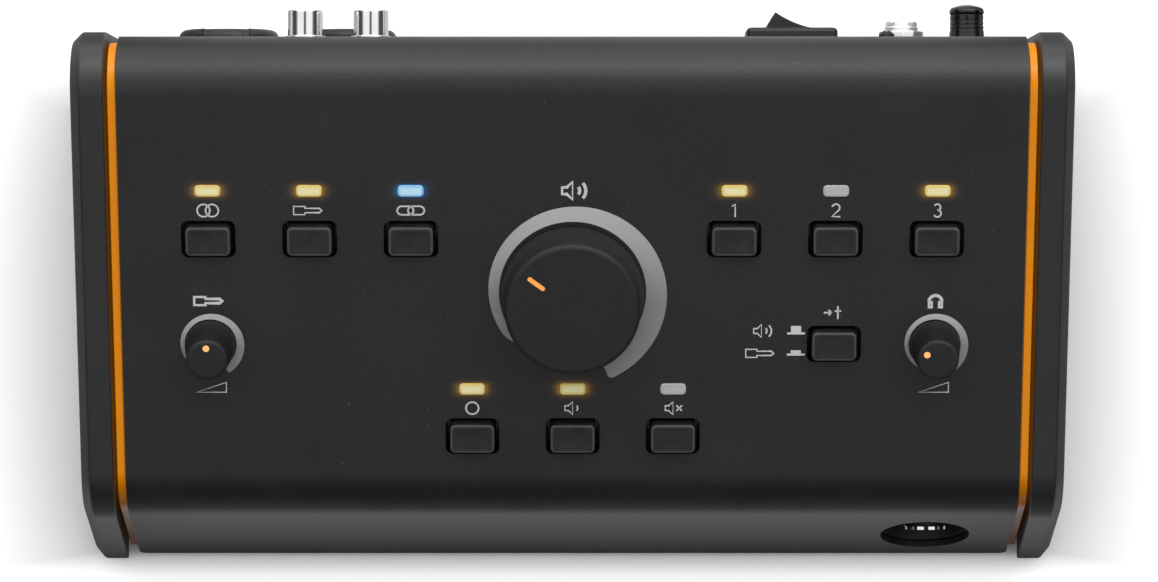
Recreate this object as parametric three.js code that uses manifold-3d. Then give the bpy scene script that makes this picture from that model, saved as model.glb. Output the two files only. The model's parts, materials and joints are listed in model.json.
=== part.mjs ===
// A desktop studio monitor controller: a bent sheet cover between two orange inlay plates and two
// side cheeks, with knobs, push buttons and lamps on the slope and sockets behind.
// Millimetres. X runs to the right, Y to the rear and Z up.
import * as THREE from "three";
import { mergeVertices } from "three/addons/utils/BufferGeometryUtils.js";
import Module from "manifold-3d";

const wasm = await Module();
wasm.setup();

// Driving dimensions

const seatGap = 0.3; // between two pieces that touch
const runGap = 0.4; // round a piece that moves
const inlayGap = 0.1; // round a lens or a pointer in its pocket
const overrun = 1; // how far a cut runs past the face that it opens

const cabinet = {
  width: 211.1,
  sheet: 1.5,
  panelLength: 92.2, // flat of the control panel, up its slope
  panelTiltDegrees: 17,
  frontFace: 32, // flat of the front, from the bend to the lower edge
  frontTiltDegrees: 71,
  frontBend: 16, // outer radius
  rearBend: 11, // outer radius
};
const inlay = { thickness: 2.2, recess: 1.5 };
const cheek = { thickness: 7.9, proud: 1, chamfer: 2.3 };
const tray = { sheet: 1.5, flange: 24 };
const foot = {
  radius: 6.5,
  tipRadius: 5.7,
  height: 3.4,
  recessRadius: 2,
  recessDepth: 1.4,
  fromSide: 15,
  fromFront: 14,
  fromRear: 13,
};

// Places on the panel, from its middle: across as shares of the cabinet's width, and up the slope
// as shares of the panel's length
const groupCentreShare = 0.29;
const buttonPitchShare = 0.1118;
const upSlopeShares = {
  topButtons: 0.1247,
  smallKnobs: -0.153,
  mainKnob: -0.0195,
  lowButtons: -0.4,
  lampAbove: 0.1274, // a lamp's middle above its button's
};

const board = { drop: 8, thickness: 1.6, sideMargin: 5, endMargin: 4 };
const button = {
  width: 10.6,
  height: 7.1,
  proud: 2.4,
  corner: 0.9,
  bevel: 0.7,
  topWall: 1.3,
  wall: 1.2,
  travel: 1.8,
  holeWidth: 12.7,
  holeHeight: 8.9,
  holeCorner: 1.2,
};
const lamp = {
  length: 6.3,
  width: 3,
  corner: 0.75,
  proud: 0.35,
  chipLength: 3.2,
  chipWidth: 1.6,
  chipHeight: 1.4,
};

const panelGap = 0.6; // between a knob and the panel
const mainKnob = {
  baseRadius: 16.7,
  topRadius: 15.7,
  height: 12.4,
  edge: 1,
  cavityRadius: 8.5,
  cavityDepth: 5,
  roof: 2.6, // solid above the shaft's bore
  pointerFrom: 8.1,
  pointerTo: 12.9,
  pointerWidth: 1.05,
  pointerDepth: 0.6,
  restDegrees: 53, // from twelve o'clock, turned to the left
};
const smallKnob = {
  baseRadius: 6,
  topRadius: 4.8,
  height: 12,
  edge: 0.7,
  roof: 2.4,
  dotRadius: 0.92,
  dotFrom: 2.85,
  dotDepth: 0.5,
};
const auxRestDegrees = 4;
const phonesRestDegrees = 63;
const shaft = { radius: 3, press: 0.15, foot: 3 }; // foot: how deep it stands in its pot
const mainPot = { width: 16, length: 17, bushing: 4.5, bushingProud: 3.4 };
const smallPot = { width: 9.8, length: 11, bushing: 4.2, bushingProud: 0 };
const potHeadroom = 1.5; // between a pot's body and the inside of the panel

// The rear wall's rows are measured up from its lower edge
const rear = { lowRow: 16, highRow: 40, midRow: 27, bodyDepth: 26, bodyStandOff: 1.2 };
const plugBore = { radius: 3.3, depth: 23 };
const combo = {
  collarRadius: 12,
  collarProud: 3.5,
  collarEdge: 2,
  neckRadius: 11.2,
  body: 23.4,
  grooveOuter: 9.9,
  grooveInner: 7.9,
  grooveDepth: 11,
  pinRadius: 1.35,
  pinCircle: 5.4,
  pinDepth: 9,
  latchWidth: 11.1,
  latchLength: 2,
  latchDepth: 0.3, // the latch's lever, over the groove, lies a little under the collar's face
};
const outputJack = { neckRadius: 5.3, body: 14.2, rimWidth: 0.9, rimDepth: 0.6 };
const phono = {
  besideCombo: 0.9, // the pair's middle, from the first combined socket's
  pitch: 15.5,
  barrelRadius: 4.15,
  barrelProud: 7,
  barrelEdge: 0.4,
  baseRadius: 4.9,
  baseProud: 0.9,
  mouthRadius: 3.3,
  mouthDepth: 0.9,
  pinRadius: 1.65,
  pinDepth: 8,
  body: 10.4,
};
const powerSwitch = {
  width: 21.7,
  height: 15,
  corner: 1.4,
  bezel: 3.3,
  bezelEdge: 1,
  bodyWidth: 18.8,
  bodyHeight: 12.6,
  bodyDepth: 16,
  wellWidth: 15.6,
  wellHeight: 9.8,
  wellDepth: 7.2,
};
const rocker = {
  halfTop: 6.1, // pivot to a top corner, across
  halfWaist: 7.2, // pivot to the side at the pivot's height
  crest: 5.35, // pivot to a top corner, outward
  dip: 0.8,
  halfHeel: 4.6,
  heel: 3,
  tiltDegrees: 20, // each way from level
};
const powerJack = {
  nutRadius: 5.35,
  nutSides: 12,
  nutProud: 2.6,
  noseRadius: 4,
  noseProud: 4.9,
  boreRadius: 3.1,
  boreDepth: 9,
  pinRadius: 1.05,
  pinSetback: 1,
  bodyRadius: 4.9,
  bodyDepth: 13,
};
const cablePost = {
  radius: 4.3,
  proud: 9,
  dome: 1.9,
  grooves: 3,
  grooveDepth: 0.5,
  stemRadius: 1.9,
  nutRadius: 3.8,
  nutHeight: 2.4,
};

// The fittings along the rear wall, seen from behind and from its left end: each one's width, and
// the gap before it as a share of what they all leave free
const outputWidth = outputJack.body;
const comboWidth = 2 * combo.collarRadius;
const rearRow = [
  { width: 2 * cablePost.radius, gapShare: 0.0906 },
  { width: 2 * powerJack.nutRadius, gapShare: 0.0754 },
  { width: powerSwitch.width, gapShare: 0.127 },
  { width: outputWidth, gapShare: 0.1528 },
  { width: outputWidth, gapShare: 0.0981 },
  { width: outputWidth, gapShare: 0.0981 },
  { width: comboWidth, gapShare: 0.1686 },
  { width: comboWidth, gapShare: 0.0541 },
];

// The headphone socket, level behind a round hole in the sloping front
const phones = {
  holeRadius: 10.7,
  aboveEdge: 16, // hole's middle above the lower edge, up the slope
  noseSetback: 1.4, // nose behind the slope, along its own axis
  noseRadius: 4.7,
  noseEdge: 0.5,
  floorDepth: 6.6, // cup's floor behind the nose's mouth
  cupWall: 1.2,
  body: 14.2,
  bodyDepth: 24,
};

// Facets
const bendSteps = 9;
const cornerSteps = 3;
const smallCornerSteps = 2;
const edgeSteps = 3;
const fineSides = 40;
const roundSides = 28;
const smallSides = 20;
const weld = 0.0001;

// Colours and finishes from the photograph
const finish = (color, roughness, metalness) => ({ color, roughness, metalness });
const coatedSteel = finish(0x2c2c2d, 0.52, 0.35);
const cheekCoat = finish(0x2a2a2b, 0.5, 0.2);
const orangeGloss = finish(0xd98000, 0.18, 0);
const blackPlastic = finish(0x141415, 0.4, 0);
const knobPlastic = finish(0x1f1f20, 0.42, 0);
const capPlastic = finish(0x262627, 0.45, 0);
const darkRubber = finish(0x101010, 0.85, 0);
const boardGreen = finish(0x1d4a2b, 0.45, 0);
const plainSteel = finish(0xb4b4b2, 0.35, 1);
const brightNickel = finish(0xcfcfca, 0.2, 1);
const warmLens = finish(0xf6e3a4, 0.3, 0);
const blueLens = finish(0xa9d8ff, 0.3, 0);
const greyLens = finish(0xa6a6a4, 0.35, 0);
const pointerOrange = finish(0xffa24a, 0.4, 0);
const pointerAmber = finish(0xffcf6a, 0.4, 0);

// Plane geometry

const quarter = Math.PI / 2;
const rad = THREE.MathUtils.degToRad;
const v2 = (x, y) => new THREE.Vector2(x, y);

function arc(centre, radius, from, to, steps) {
  return Array.from({ length: steps + 1 }, (_, i) => {
    const angle = from + ((to - from) * i) / steps;
    return v2(centre.x + radius * Math.cos(angle), centre.y + radius * Math.sin(angle));
  });
}

const circle = (radius, sides) => arc(v2(0, 0), radius, 0, 2 * Math.PI, sides).slice(0, -1);

function rectangle(width, height) {
  const x = width / 2;
  const y = height / 2;
  return [v2(x, y), v2(-x, y), v2(-x, -y), v2(x, -y)];
}

function roundedRectangle(width, height, radius, steps) {
  const corners = rectangle(width - 2 * radius, height - 2 * radius);
  return corners.flatMap((c, i) => arc(c, radius, i * quarter, (i + 1) * quarter, steps));
}

function slot(length, width) {
  const reach = (length - width) / 2;
  const steps = cornerSteps * 2;
  return [
    ...arc(v2(reach, 0), width / 2, -quarter, quarter, steps),
    ...arc(v2(-reach, 0), width / 2, quarter, 3 * quarter, steps),
  ];
}

// Solid geometry. Every shape stands on the XY plane or turns about Z.

function prism(points, from, to) {
  const shape = new THREE.Shape(points);
  const solid = new THREE.ExtrudeGeometry(shape, { depth: to - from, bevelEnabled: false });
  return solid.translate(0, 0, from);
}

// A solid of revolution about Z, from [radius, z] points that start and end on the axis.
function turned(profile, sides) {
  const points = profile.map(([radius, z]) => v2(radius, z));
  return new THREE.LatheGeometry(points, sides).rotateX(quarter);
}

const rod = (radius, from, to, sides) =>
  turned([[0, from], [radius, from], [radius, to], [0, to]], sides);

// A skin over outlines of equal count, each anticlockwise and standing higher up Z than the last.
function skin(sections) {
  const count = sections[0].points.length;
  const corners = sections.flatMap(({ z, points }) => points.flatMap((p) => [p.x, p.y, z]));
  const faces = THREE.ShapeUtils.triangulateShape(sections[0].points, []).map((f) => [f[2], f[1], f[0]]);
  for (let level = 0; level < sections.length - 1; level++) {
    for (let i = 0; i < count; i++) {
      const a = level * count + i;
      const b = level * count + ((i + 1) % count);
      faces.push([a, b, b + count], [a, b + count, a + count]);
    }
  }
  const top = (sections.length - 1) * count;
  const lid = THREE.ShapeUtils.triangulateShape(sections.at(-1).points, []);
  faces.push(...lid.map((f) => f.map((corner) => top + corner)));
  const geometry = new THREE.BufferGeometry();
  geometry.setAttribute("position", new THREE.Float32BufferAttribute(corners, 3));
  geometry.setIndex(faces.flat());
  return geometry;
}

function toSolid(geometry) {
  const loose = geometry.index ? geometry.toNonIndexed() : geometry.clone();
  const bare = new THREE.BufferGeometry().setAttribute("position", loose.getAttribute("position"));
  const merged = mergeVertices(bare, weld);
  const corners = merged.index.array;
  const triVerts = [];
  for (let i = 0; i < corners.length; i += 3) {
    const [a, b, c] = corners.slice(i, i + 3);
    if (a !== b && b !== c && c !== a) triVerts.push(a, b, c);
  }
  const mesh = new wasm.Mesh({
    numProp: 3,
    vertProperties: merged.attributes.position.array,
    triVerts: new Uint32Array(triVerts),
  });
  return new wasm.Manifold(mesh);
}

function toGeometry(solid) {
  const { vertProperties, triVerts } = solid.getMesh();
  const geometry = new THREE.BufferGeometry();
  geometry.setAttribute("position", new THREE.BufferAttribute(vertProperties, 3));
  geometry.setIndex(new THREE.BufferAttribute(triVerts, 1));
  geometry.computeVertexNormals();
  return geometry;
}

const join = (body, ...others) =>
  toGeometry(others.reduce((sum, other) => sum.add(toSolid(other)), toSolid(body)));
const cut = (body, ...tools) =>
  toGeometry(tools.reduce((rest, tool) => rest.subtract(toSolid(tool)), toSolid(body)));
const overlap = (body, other) => toGeometry(toSolid(body).intersect(toSolid(other)));

function piece(name, geometry, { color, roughness, metalness }) {
  const material = new THREE.MeshStandardMaterial({ color, roughness, metalness });
  const mesh = new THREE.Mesh(geometry, material);
  mesh.name = name;
  return mesh;
}

// Side view of the cabinet, from the middle of the flat panel: first to the rear, then up

const panelTilt = rad(cabinet.panelTiltDegrees);
const frontTilt = rad(cabinet.frontTiltDegrees);

// The point that lies so far along a slope and so far out of it.
const onSlope = (tilt, along, out) =>
  v2(along * Math.cos(tilt) - out * Math.sin(tilt), along * Math.sin(tilt) + out * Math.cos(tilt));

const frontBendCentre = onSlope(panelTilt, -cabinet.panelLength / 2, -cabinet.frontBend);
const rearBendCentre = onSlope(panelTilt, cabinet.panelLength / 2, -cabinet.rearBend);
const faceTop = onSlope(frontTilt, 0, cabinet.frontBend).add(frontBendCentre);
const faceBottom = onSlope(frontTilt, -cabinet.frontFace, 0).add(faceTop);
const lowerEdge = faceBottom.y;
const rearWall = rearBendCentre.x + cabinet.rearBend;

// The wrap from the rear wall's lower edge over the panel to the front's, at an offset outward.
function wrap(offset, bottom) {
  const top = panelTilt + quarter;
  const rearArc = arc(rearBendCentre, cabinet.rearBend + offset, 0, top, bendSteps);
  const frontArc = arc(frontBendCentre, cabinet.frontBend + offset, top, frontTilt + quarter, bendSteps);
  const lip = frontArc.at(-1);
  const toe = v2(lip.x - (lip.y - bottom) / Math.tan(frontTilt), bottom);
  return [v2(rearWall + offset, bottom), ...rearArc, ...frontArc, toe];
}

// Local frames: Z points out of the face that each stands on

const sideways = new THREE.Matrix4().makeBasis(
  new THREE.Vector3(0, 1, 0),
  new THREE.Vector3(0, 0, 1),
  new THREE.Vector3(1, 0, 0),
);
const onPanel = new THREE.Matrix4().makeRotationX(panelTilt);
const groupCentre = groupCentreShare * cabinet.width;
const buttonPitch = buttonPitchShare * cabinet.width;
const phonesX = groupCentre + buttonPitch;
const phonesCentre = onSlope(frontTilt, phones.aboveEdge, 0).add(faceBottom);
const onFront = new THREE.Matrix4()
  .makeRotationX(frontTilt)
  .setPosition(phonesX, phonesCentre.x, phonesCentre.y);
const levelAtPhones = new THREE.Matrix4()
  .makeRotationX(quarter)
  .setPosition(phonesX, phonesCentre.x, phonesCentre.y);
const onRear = new THREE.Matrix4()
  .makeBasis(new THREE.Vector3(-1, 0, 0), new THREE.Vector3(0, 0, 1), new THREE.Vector3(0, 1, 0))
  .setPosition(0, rearWall, lowerEdge);

// Depths below the panel's face
const inside = -cabinet.sheet;
const boardTop = inside - board.drop;

// Places of the controls, and of the sockets behind

const threeAt = (centre) => [centre - buttonPitch, centre, centre + buttonPitch];
const leftX = threeAt(-groupCentre);
const rightX = threeAt(groupCentre);
const lowX = threeAt(0);
const topY = upSlopeShares.topButtons * cabinet.panelLength;
const smallY = upSlopeShares.smallKnobs * cabinet.panelLength;
const mainY = upSlopeShares.mainKnob * cabinet.panelLength;
const lowY = upSlopeShares.lowButtons * cabinet.panelLength;
const lampRise = upSlopeShares.lampAbove * cabinet.panelLength;

const buttons = [
  { name: "stereo", x: leftX[0], y: topY, lens: warmLens },
  { name: "aux", x: leftX[1], y: topY, lens: warmLens },
  { name: "pair", x: leftX[2], y: topY, lens: blueLens },
  { name: "output_1", x: rightX[0], y: topY, lens: warmLens },
  { name: "output_2", x: rightX[1], y: topY, lens: greyLens },
  { name: "output_3", x: rightX[2], y: topY, lens: warmLens },
  { name: "prefade", x: rightX[1], y: smallY, lens: null },
  { name: "mono", x: lowX[0], y: lowY, lens: warmLens },
  { name: "dim", x: lowX[1], y: lowY, lens: warmLens },
  { name: "mute", x: lowX[2], y: lowY, lens: greyLens },
];
const lamps = buttons
  .filter(({ lens }) => lens)
  .map(({ name, x, y, lens }) => ({ name, x, y: y + lampRise, lens }));
const dials = [
  { name: "main", x: 0, y: mainY, pot: mainPot, rest: mainKnob.restDegrees },
  { name: "aux", x: leftX[0], y: smallY, pot: smallPot, rest: auxRestDegrees },
  { name: "phones", x: rightX[2], y: smallY, pot: smallPot, rest: phonesRestDegrees },
];

function placesAlong(row, length) {
  const spare = length - row.reduce((sum, { width }) => sum + width, 0);
  let x = -length / 2;
  return row.map(({ width, gapShare }) => {
    x += gapShare * spare + width;
    return x - width / 2;
  });
}
const [postX, powerJackX, switchX, ...socketX] = placesAlong(rearRow, cabinet.width);
const outputX = socketX.slice(0, 3);
const comboX = socketX.slice(3);
const phonoX = comboX[0] + phono.besideCombo;
const combos = comboX.map((x) => ({ x, y: rear.lowRow }));
const phonos = [1, -1].map((side) => ({ x: phonoX + (side * phono.pitch) / 2, y: rear.highRow }));
const outputs = outputX.toReversed().flatMap((x) => [rear.highRow, rear.lowRow].map((y) => ({ x, y })));

// Bent cover

const lampOutline = (gap) =>
  roundedRectangle(lamp.length + 2 * gap, lamp.width + 2 * gap, lamp.corner + gap, smallCornerSteps);

function coverHoles() {
  const through = (points) => prism(points, inside - overrun, overrun);
  const neck = (radius, sides) => through(circle(radius + seatGap, sides));
  const { holeWidth, holeHeight, holeCorner } = button;
  const capHole = roundedRectangle(holeWidth, holeHeight, holeCorner, smallCornerSteps);
  const lampHole = lampOutline(inlayGap);
  const bodyHole = rectangle(powerSwitch.bodyWidth + 2 * seatGap, powerSwitch.bodyHeight + 2 * seatGap);
  const panelTools = [
    ...buttons.map(({ x, y }) => through(capHole).translate(x, y, 0)),
    ...lamps.map(({ x, y }) => through(lampHole).translate(x, y, 0)),
    ...dials.map(({ x, y, pot }) => neck(pot.bushing, smallSides).translate(x, y, 0)),
  ];
  const rearTools = [
    ...combos.map(({ x, y }) => neck(combo.neckRadius, roundSides).translate(x, y, 0)),
    ...phonos.map(({ x, y }) => neck(phono.barrelRadius, smallSides).translate(x, y, 0)),
    ...outputs.map(({ x, y }) => neck(outputJack.neckRadius, smallSides).translate(x, y, 0)),
    through(bodyHole).translate(switchX, rear.midRow, 0),
    neck(powerJack.noseRadius, smallSides).translate(powerJackX, rear.midRow, 0),
    neck(cablePost.stemRadius, smallSides).translate(postX, rear.midRow, 0),
  ];
  return [
    ...panelTools.map((tool) => tool.applyMatrix4(onPanel)),
    ...rearTools.map((tool) => tool.applyMatrix4(onRear)),
    through(circle(phones.holeRadius, fineSides)).applyMatrix4(onFront),
  ];
}

function topShell() {
  const outline = [...wrap(0, lowerEdge), ...wrap(-cabinet.sheet, lowerEdge).reverse()];
  const sheet = prism(outline, -cabinet.width / 2, cabinet.width / 2).applyMatrix4(sideways);
  return piece("top_shell", cut(sheet, ...coverHoles()), coatedSteel);
}

// Tray: the floor with an upturned flange at each end, inside the cover

function baseTray() {
  const half = cabinet.width / 2;
  const rim = lowerEdge + tray.flange;
  const floor = lowerEdge + tray.sheet;
  const section = [
    v2(-half, lowerEdge),
    v2(half, lowerEdge),
    v2(half, rim),
    v2(half - tray.sheet, rim),
    v2(half - tray.sheet, floor),
    v2(tray.sheet - half, floor),
    v2(tray.sheet - half, rim),
    v2(-half, rim),
  ];
  const length = rearWall - faceBottom.x;
  const channel = prism(section, 0, length).rotateX(quarter).translate(0, rearWall, 0);
  const room = wrap(-(cabinet.sheet + seatGap), lowerEdge);
  const space = prism(room, -half - overrun, half + overrun).applyMatrix4(sideways);
  return piece("base_tray", overlap(channel, space), coatedSteel);
}

// Side pieces: each outline stands at its own distance from the middle

function sidePiece(name, side, levels, look) {
  const sections = levels.map(({ out, offset }) => ({
    z: side * out,
    points: wrap(offset, lowerEdge - offset),
  }));
  if (side < 0) sections.reverse();
  return piece(name, skin(sections).applyMatrix4(sideways), look);
}

function sidePieces() {
  const inlayIn = cabinet.width / 2 + seatGap;
  const inlayOut = inlayIn + inlay.thickness;
  const cheekIn = inlayOut + seatGap;
  const cheekOut = cheekIn + cheek.thickness;
  const inlayLevels = [inlayIn, inlayOut].map((out) => ({ out, offset: -inlay.recess }));
  const cheekLevels = [
    { out: cheekIn, offset: cheek.proud },
    { out: cheekOut - cheek.chamfer, offset: cheek.proud },
    { out: cheekOut, offset: cheek.proud - cheek.chamfer },
  ];
  return [
    sidePiece("side_inlay_left", -1, inlayLevels, orangeGloss),
    sidePiece("side_inlay_right", 1, inlayLevels, orangeGloss),
    sidePiece("side_cheek_left", -1, cheekLevels, cheekCoat),
    sidePiece("side_cheek_right", 1, cheekLevels, cheekCoat),
  ];
}

function rubberFeet() {
  const profile = [
    [0, foot.recessDepth],
    [foot.recessRadius, foot.recessDepth],
    [foot.recessRadius, 0],
    [foot.tipRadius, 0],
    [foot.radius, foot.height],
    [0, foot.height],
  ];
  const x = cabinet.width / 2 - foot.fromSide;
  const frontY = faceBottom.x + foot.fromFront;
  const rearY = rearWall - foot.fromRear;
  const places = [
    { name: "foot_front_left", x: -x, y: frontY },
    { name: "foot_front_right", x, y: frontY },
    { name: "foot_rear_left", x: -x, y: rearY },
    { name: "foot_rear_right", x, y: rearY },
  ];
  return places.map((place) => {
    const mesh = piece(place.name, toGeometry(toSolid(turned(profile, smallSides))), darkRubber);
    mesh.position.set(place.x, place.y, lowerEdge - seatGap - foot.height);
    return mesh;
  });
}

// Boards: the panel's, with its switches and lamps soldered on, and the sockets' behind

function mainBoard() {
  const width = cabinet.width - 2 * board.sideMargin;
  const length = cabinet.panelLength - 2 * board.endMargin;
  const plate = prism(rectangle(width, length), boardTop - board.thickness, boardTop);
  const ceiling = button.proud - button.topWall;
  const inner = 2 * (button.wall + runGap);
  const post = rectangle(button.width - inner, button.height - inner);
  const chip = rectangle(lamp.chipLength, lamp.chipWidth);
  const root = boardTop - board.thickness / 2;
  const switches = buttons.map(({ x, y }) =>
    prism(post, root, ceiling - button.travel - runGap).translate(x, y, 0),
  );
  const chips = lamps.map(({ x, y }) => prism(chip, root, boardTop + lamp.chipHeight).translate(x, y, 0));
  return piece("main_board", join(plate, ...switches, ...chips), boardGreen);
}

function rearBoard() {
  const left = outputX[0] - outputJack.body;
  const right = comboX[1] + combo.body / 2;
  const bottom = tray.sheet + seatGap;
  const top = rear.highRow + outputJack.body / 2;
  const face = inside - rear.bodyStandOff - rear.bodyDepth - seatGap;
  const plate = prism(rectangle(right - left, top - bottom), face - board.thickness, face);
  return piece("rear_board", plate.translate((left + right) / 2, (bottom + top) / 2, 0), boardGreen);
}

// Buttons and lamp lenses

function buttonCap({ name, x, y }) {
  const skirt = boardTop + button.travel + runGap;
  const outer = (inset) => {
    const corner = button.corner - inset / 2;
    return roundedRectangle(button.width - 2 * inset, button.height - 2 * inset, corner, cornerSteps);
  };
  const body = skin([
    { z: skirt, points: outer(0) },
    { z: button.proud - button.bevel, points: outer(0) },
    { z: button.proud, points: outer(button.bevel) },
  ]);
  const hollow = rectangle(button.width - 2 * button.wall, button.height - 2 * button.wall);
  const cap = cut(body, prism(hollow, skirt - overrun, button.proud - button.topWall));
  const mesh = piece(name + "_button", cap, capPlastic);
  mesh.position.set(x, y, 0);
  return mesh;
}

function lampLens({ name, x, y, lens }) {
  const stem = prism(lampOutline(0), boardTop + lamp.chipHeight + seatGap, lamp.proud);
  const mesh = piece(name + "_lamp", stem, lens);
  mesh.position.set(x, y, 0);
  return mesh;
}

// Dials: a pot on the board, its shaft, the knob on it and the pointer in the knob's top

function potSize(pot) {
  const top = inside - potHeadroom;
  return { top, floor: top - shaft.foot, mouth: pot.bushingProud };
}

function potBody(name, pot) {
  const { top, floor, mouth } = potSize(pot);
  const block = prism(rectangle(pot.width, pot.length), boardTop + seatGap, top);
  const bushing = rod(pot.bushing, floor, mouth, smallSides);
  const bore = rod(shaft.radius + runGap, floor, mouth + overrun, smallSides);
  return piece(name + "_pot", cut(join(block, bushing), bore), plainSteel);
}

function potShaft(name, pot, knob) {
  const { floor } = potSize(pot);
  const top = panelGap + knob.height - knob.roof - seatGap;
  return piece(name + "_shaft", rod(shaft.radius, floor + runGap, top, smallSides), plainSteel);
}

// A knob's outside, up from its foot and over its rounded edge to the middle of its top.
function knobProfile(knob) {
  const top = panelGap + knob.height;
  const centre = v2(knob.topRadius - knob.edge, top - knob.edge);
  const edge = arc(centre, knob.edge, 0, quarter, edgeSteps).map((p) => [p.x, p.y]);
  return [[0, panelGap], [knob.baseRadius, panelGap], ...edge, [0, top]];
}

function shaftBore(knob) {
  const top = panelGap + knob.height - knob.roof;
  return rod(shaft.radius + shaft.press, panelGap - overrun, top, smallSides);
}

function mainDial() {
  const top = panelGap + mainKnob.height;
  const length = mainKnob.pointerTo - mainKnob.pointerFrom;
  const middle = (mainKnob.pointerTo + mainKnob.pointerFrom) / 2;
  const bar = (gap, from, to) =>
    prism(slot(length + 2 * gap, mainKnob.pointerWidth + 2 * gap), from, to)
      .rotateZ(quarter)
      .translate(0, middle, 0);
  const floor = top - mainKnob.pointerDepth;
  const body = cut(
    turned(knobProfile(mainKnob), fineSides),
    rod(mainKnob.cavityRadius, panelGap - overrun, panelGap + mainKnob.cavityDepth, smallSides),
    shaftBore(mainKnob),
    bar(inlayGap, floor, top + overrun),
  );
  const pointer = bar(0, floor + inlayGap, top);
  return [piece("main_knob", body, knobPlastic), piece("main_pointer", pointer, pointerOrange)];
}

function smallDial(name) {
  const top = panelGap + smallKnob.height;
  const floor = top - smallKnob.dotDepth;
  const dot = (radius, from, to) =>
    rod(radius, from, to, smallSides).translate(0, smallKnob.dotFrom, 0);
  const body = cut(
    turned(knobProfile(smallKnob), roundSides),
    shaftBore(smallKnob),
    dot(smallKnob.dotRadius + inlayGap, floor, top + overrun),
  );
  const spot = toGeometry(toSolid(dot(smallKnob.dotRadius, floor + inlayGap, top)));
  return [piece(name + "_knob", body, knobPlastic), piece(name + "_pointer", spot, pointerAmber)];
}

function dialGroup({ name, x, y, pot, rest }) {
  const knob = name === "main" ? mainKnob : smallKnob;
  const turning = new THREE.Group();
  turning.add(...(name === "main" ? mainDial() : smallDial(name)), potShaft(name, pot, knob));
  turning.rotation.z = rad(rest);
  const place = new THREE.Group();
  place.add(turning, potBody(name, pot));
  place.position.set(x, y, 0);
  return place;
}

// Sockets and fittings of the rear wall

const socketBack = inside - rear.bodyStandOff - rear.bodyDepth;
const socketFront = inside - rear.bodyStandOff;

function comboJack(name, { x, y }) {
  const face = combo.collarProud;
  const edge = arc(v2(combo.collarRadius - combo.collarEdge, face - combo.collarEdge), combo.collarEdge,
    0, quarter, edgeSteps).map((p) => [p.x, p.y]);
  const collar = turned([[0, seatGap], [combo.collarRadius, seatGap], ...edge, [0, face]], roundSides);
  const neck = rod(combo.neckRadius, socketFront - overrun, face - combo.collarEdge, roundSides);
  const body = prism(rectangle(combo.body, combo.body), socketBack, socketFront);
  const grooveFloor = face - combo.grooveDepth;
  const groove = turned(
    [
      [combo.grooveInner, grooveFloor],
      [combo.grooveOuter, grooveFloor],
      [combo.grooveOuter, face + overrun],
      [combo.grooveInner, face + overrun],
      [combo.grooveInner, grooveFloor],
    ],
    roundSides,
  );
  const pins = [0, 1, 2].map((i) =>
    rod(combo.pinRadius, face - combo.pinDepth, face + overrun, smallSides / 2)
      .translate(0, combo.pinCircle, 0)
      .rotateZ(((i + 0.5) * 2 * Math.PI) / 3),
  );
  const latch = prism(rectangle(combo.latchWidth, combo.latchLength), face - combo.latchDepth, face + overrun)
    .translate(0, combo.grooveOuter, 0);
  const bore = rod(plugBore.radius, face - plugBore.depth, face + overrun, smallSides);
  const socket = cut(join(collar, neck, body), groove, ...pins, latch, bore);
  const mesh = piece(name, socket, blackPlastic);
  mesh.position.set(x, y, 0);
  return mesh;
}

function outputSocket(name, { x, y }) {
  const neck = rod(outputJack.neckRadius, socketFront - overrun, 0, smallSides);
  const body = prism(rectangle(outputJack.body, outputJack.body), socketBack, socketFront);
  const bore = rod(plugBore.radius, -plugBore.depth, overrun, smallSides);
  const inner = outputJack.neckRadius - outputJack.rimWidth;
  const dish = rod(inner, -outputJack.rimDepth, overrun, smallSides);
  const mesh = piece(name, cut(join(neck, body), dish, bore), blackPlastic);
  mesh.position.set(x, y, 0);
  return mesh;
}

function phonoJack(name, { x, y }) {
  const tip = phono.barrelProud;
  const profile = [
    [0, socketFront - overrun],
    [phono.barrelRadius, socketFront - overrun],
    [phono.barrelRadius, seatGap],
    [phono.baseRadius, seatGap],
    [phono.baseRadius, phono.baseProud],
    [phono.barrelRadius, phono.baseProud],
    [phono.barrelRadius, tip - phono.barrelEdge],
    [phono.barrelRadius - phono.barrelEdge, tip],
    [phono.mouthRadius, tip],
    [phono.mouthRadius, tip - phono.mouthDepth],
    [phono.pinRadius, tip - phono.mouthDepth],
    [phono.pinRadius, tip - phono.pinDepth],
    [0, tip - phono.pinDepth],
  ];
  const body = prism(rectangle(phono.body, phono.body), socketBack, socketFront);
  const mesh = piece(name, join(turned(profile, smallSides), body), brightNickel);
  mesh.position.set(x, y, 0);
  return mesh;
}

function switchFrame() {
  const { width, height, corner, bezel, bezelEdge, bodyWidth, bodyHeight, bodyDepth } = powerSwitch;
  const outer = (inset) => {
    const rounding = corner - inset / 2;
    return roundedRectangle(width - 2 * inset, height - 2 * inset, rounding, cornerSteps);
  };
  const plate = skin([
    { z: seatGap, points: outer(0) },
    { z: bezel - bezelEdge, points: outer(0) },
    { z: bezel, points: outer(bezelEdge) },
  ]);
  const body = prism(rectangle(bodyWidth, bodyHeight), -bodyDepth, bezel - bezelEdge);
  const well = prism(rectangle(powerSwitch.wellWidth, powerSwitch.wellHeight),
    -powerSwitch.wellDepth, bezel + overrun);
  return piece("power_switch_frame", cut(join(plate, body), well), blackPlastic);
}

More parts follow.
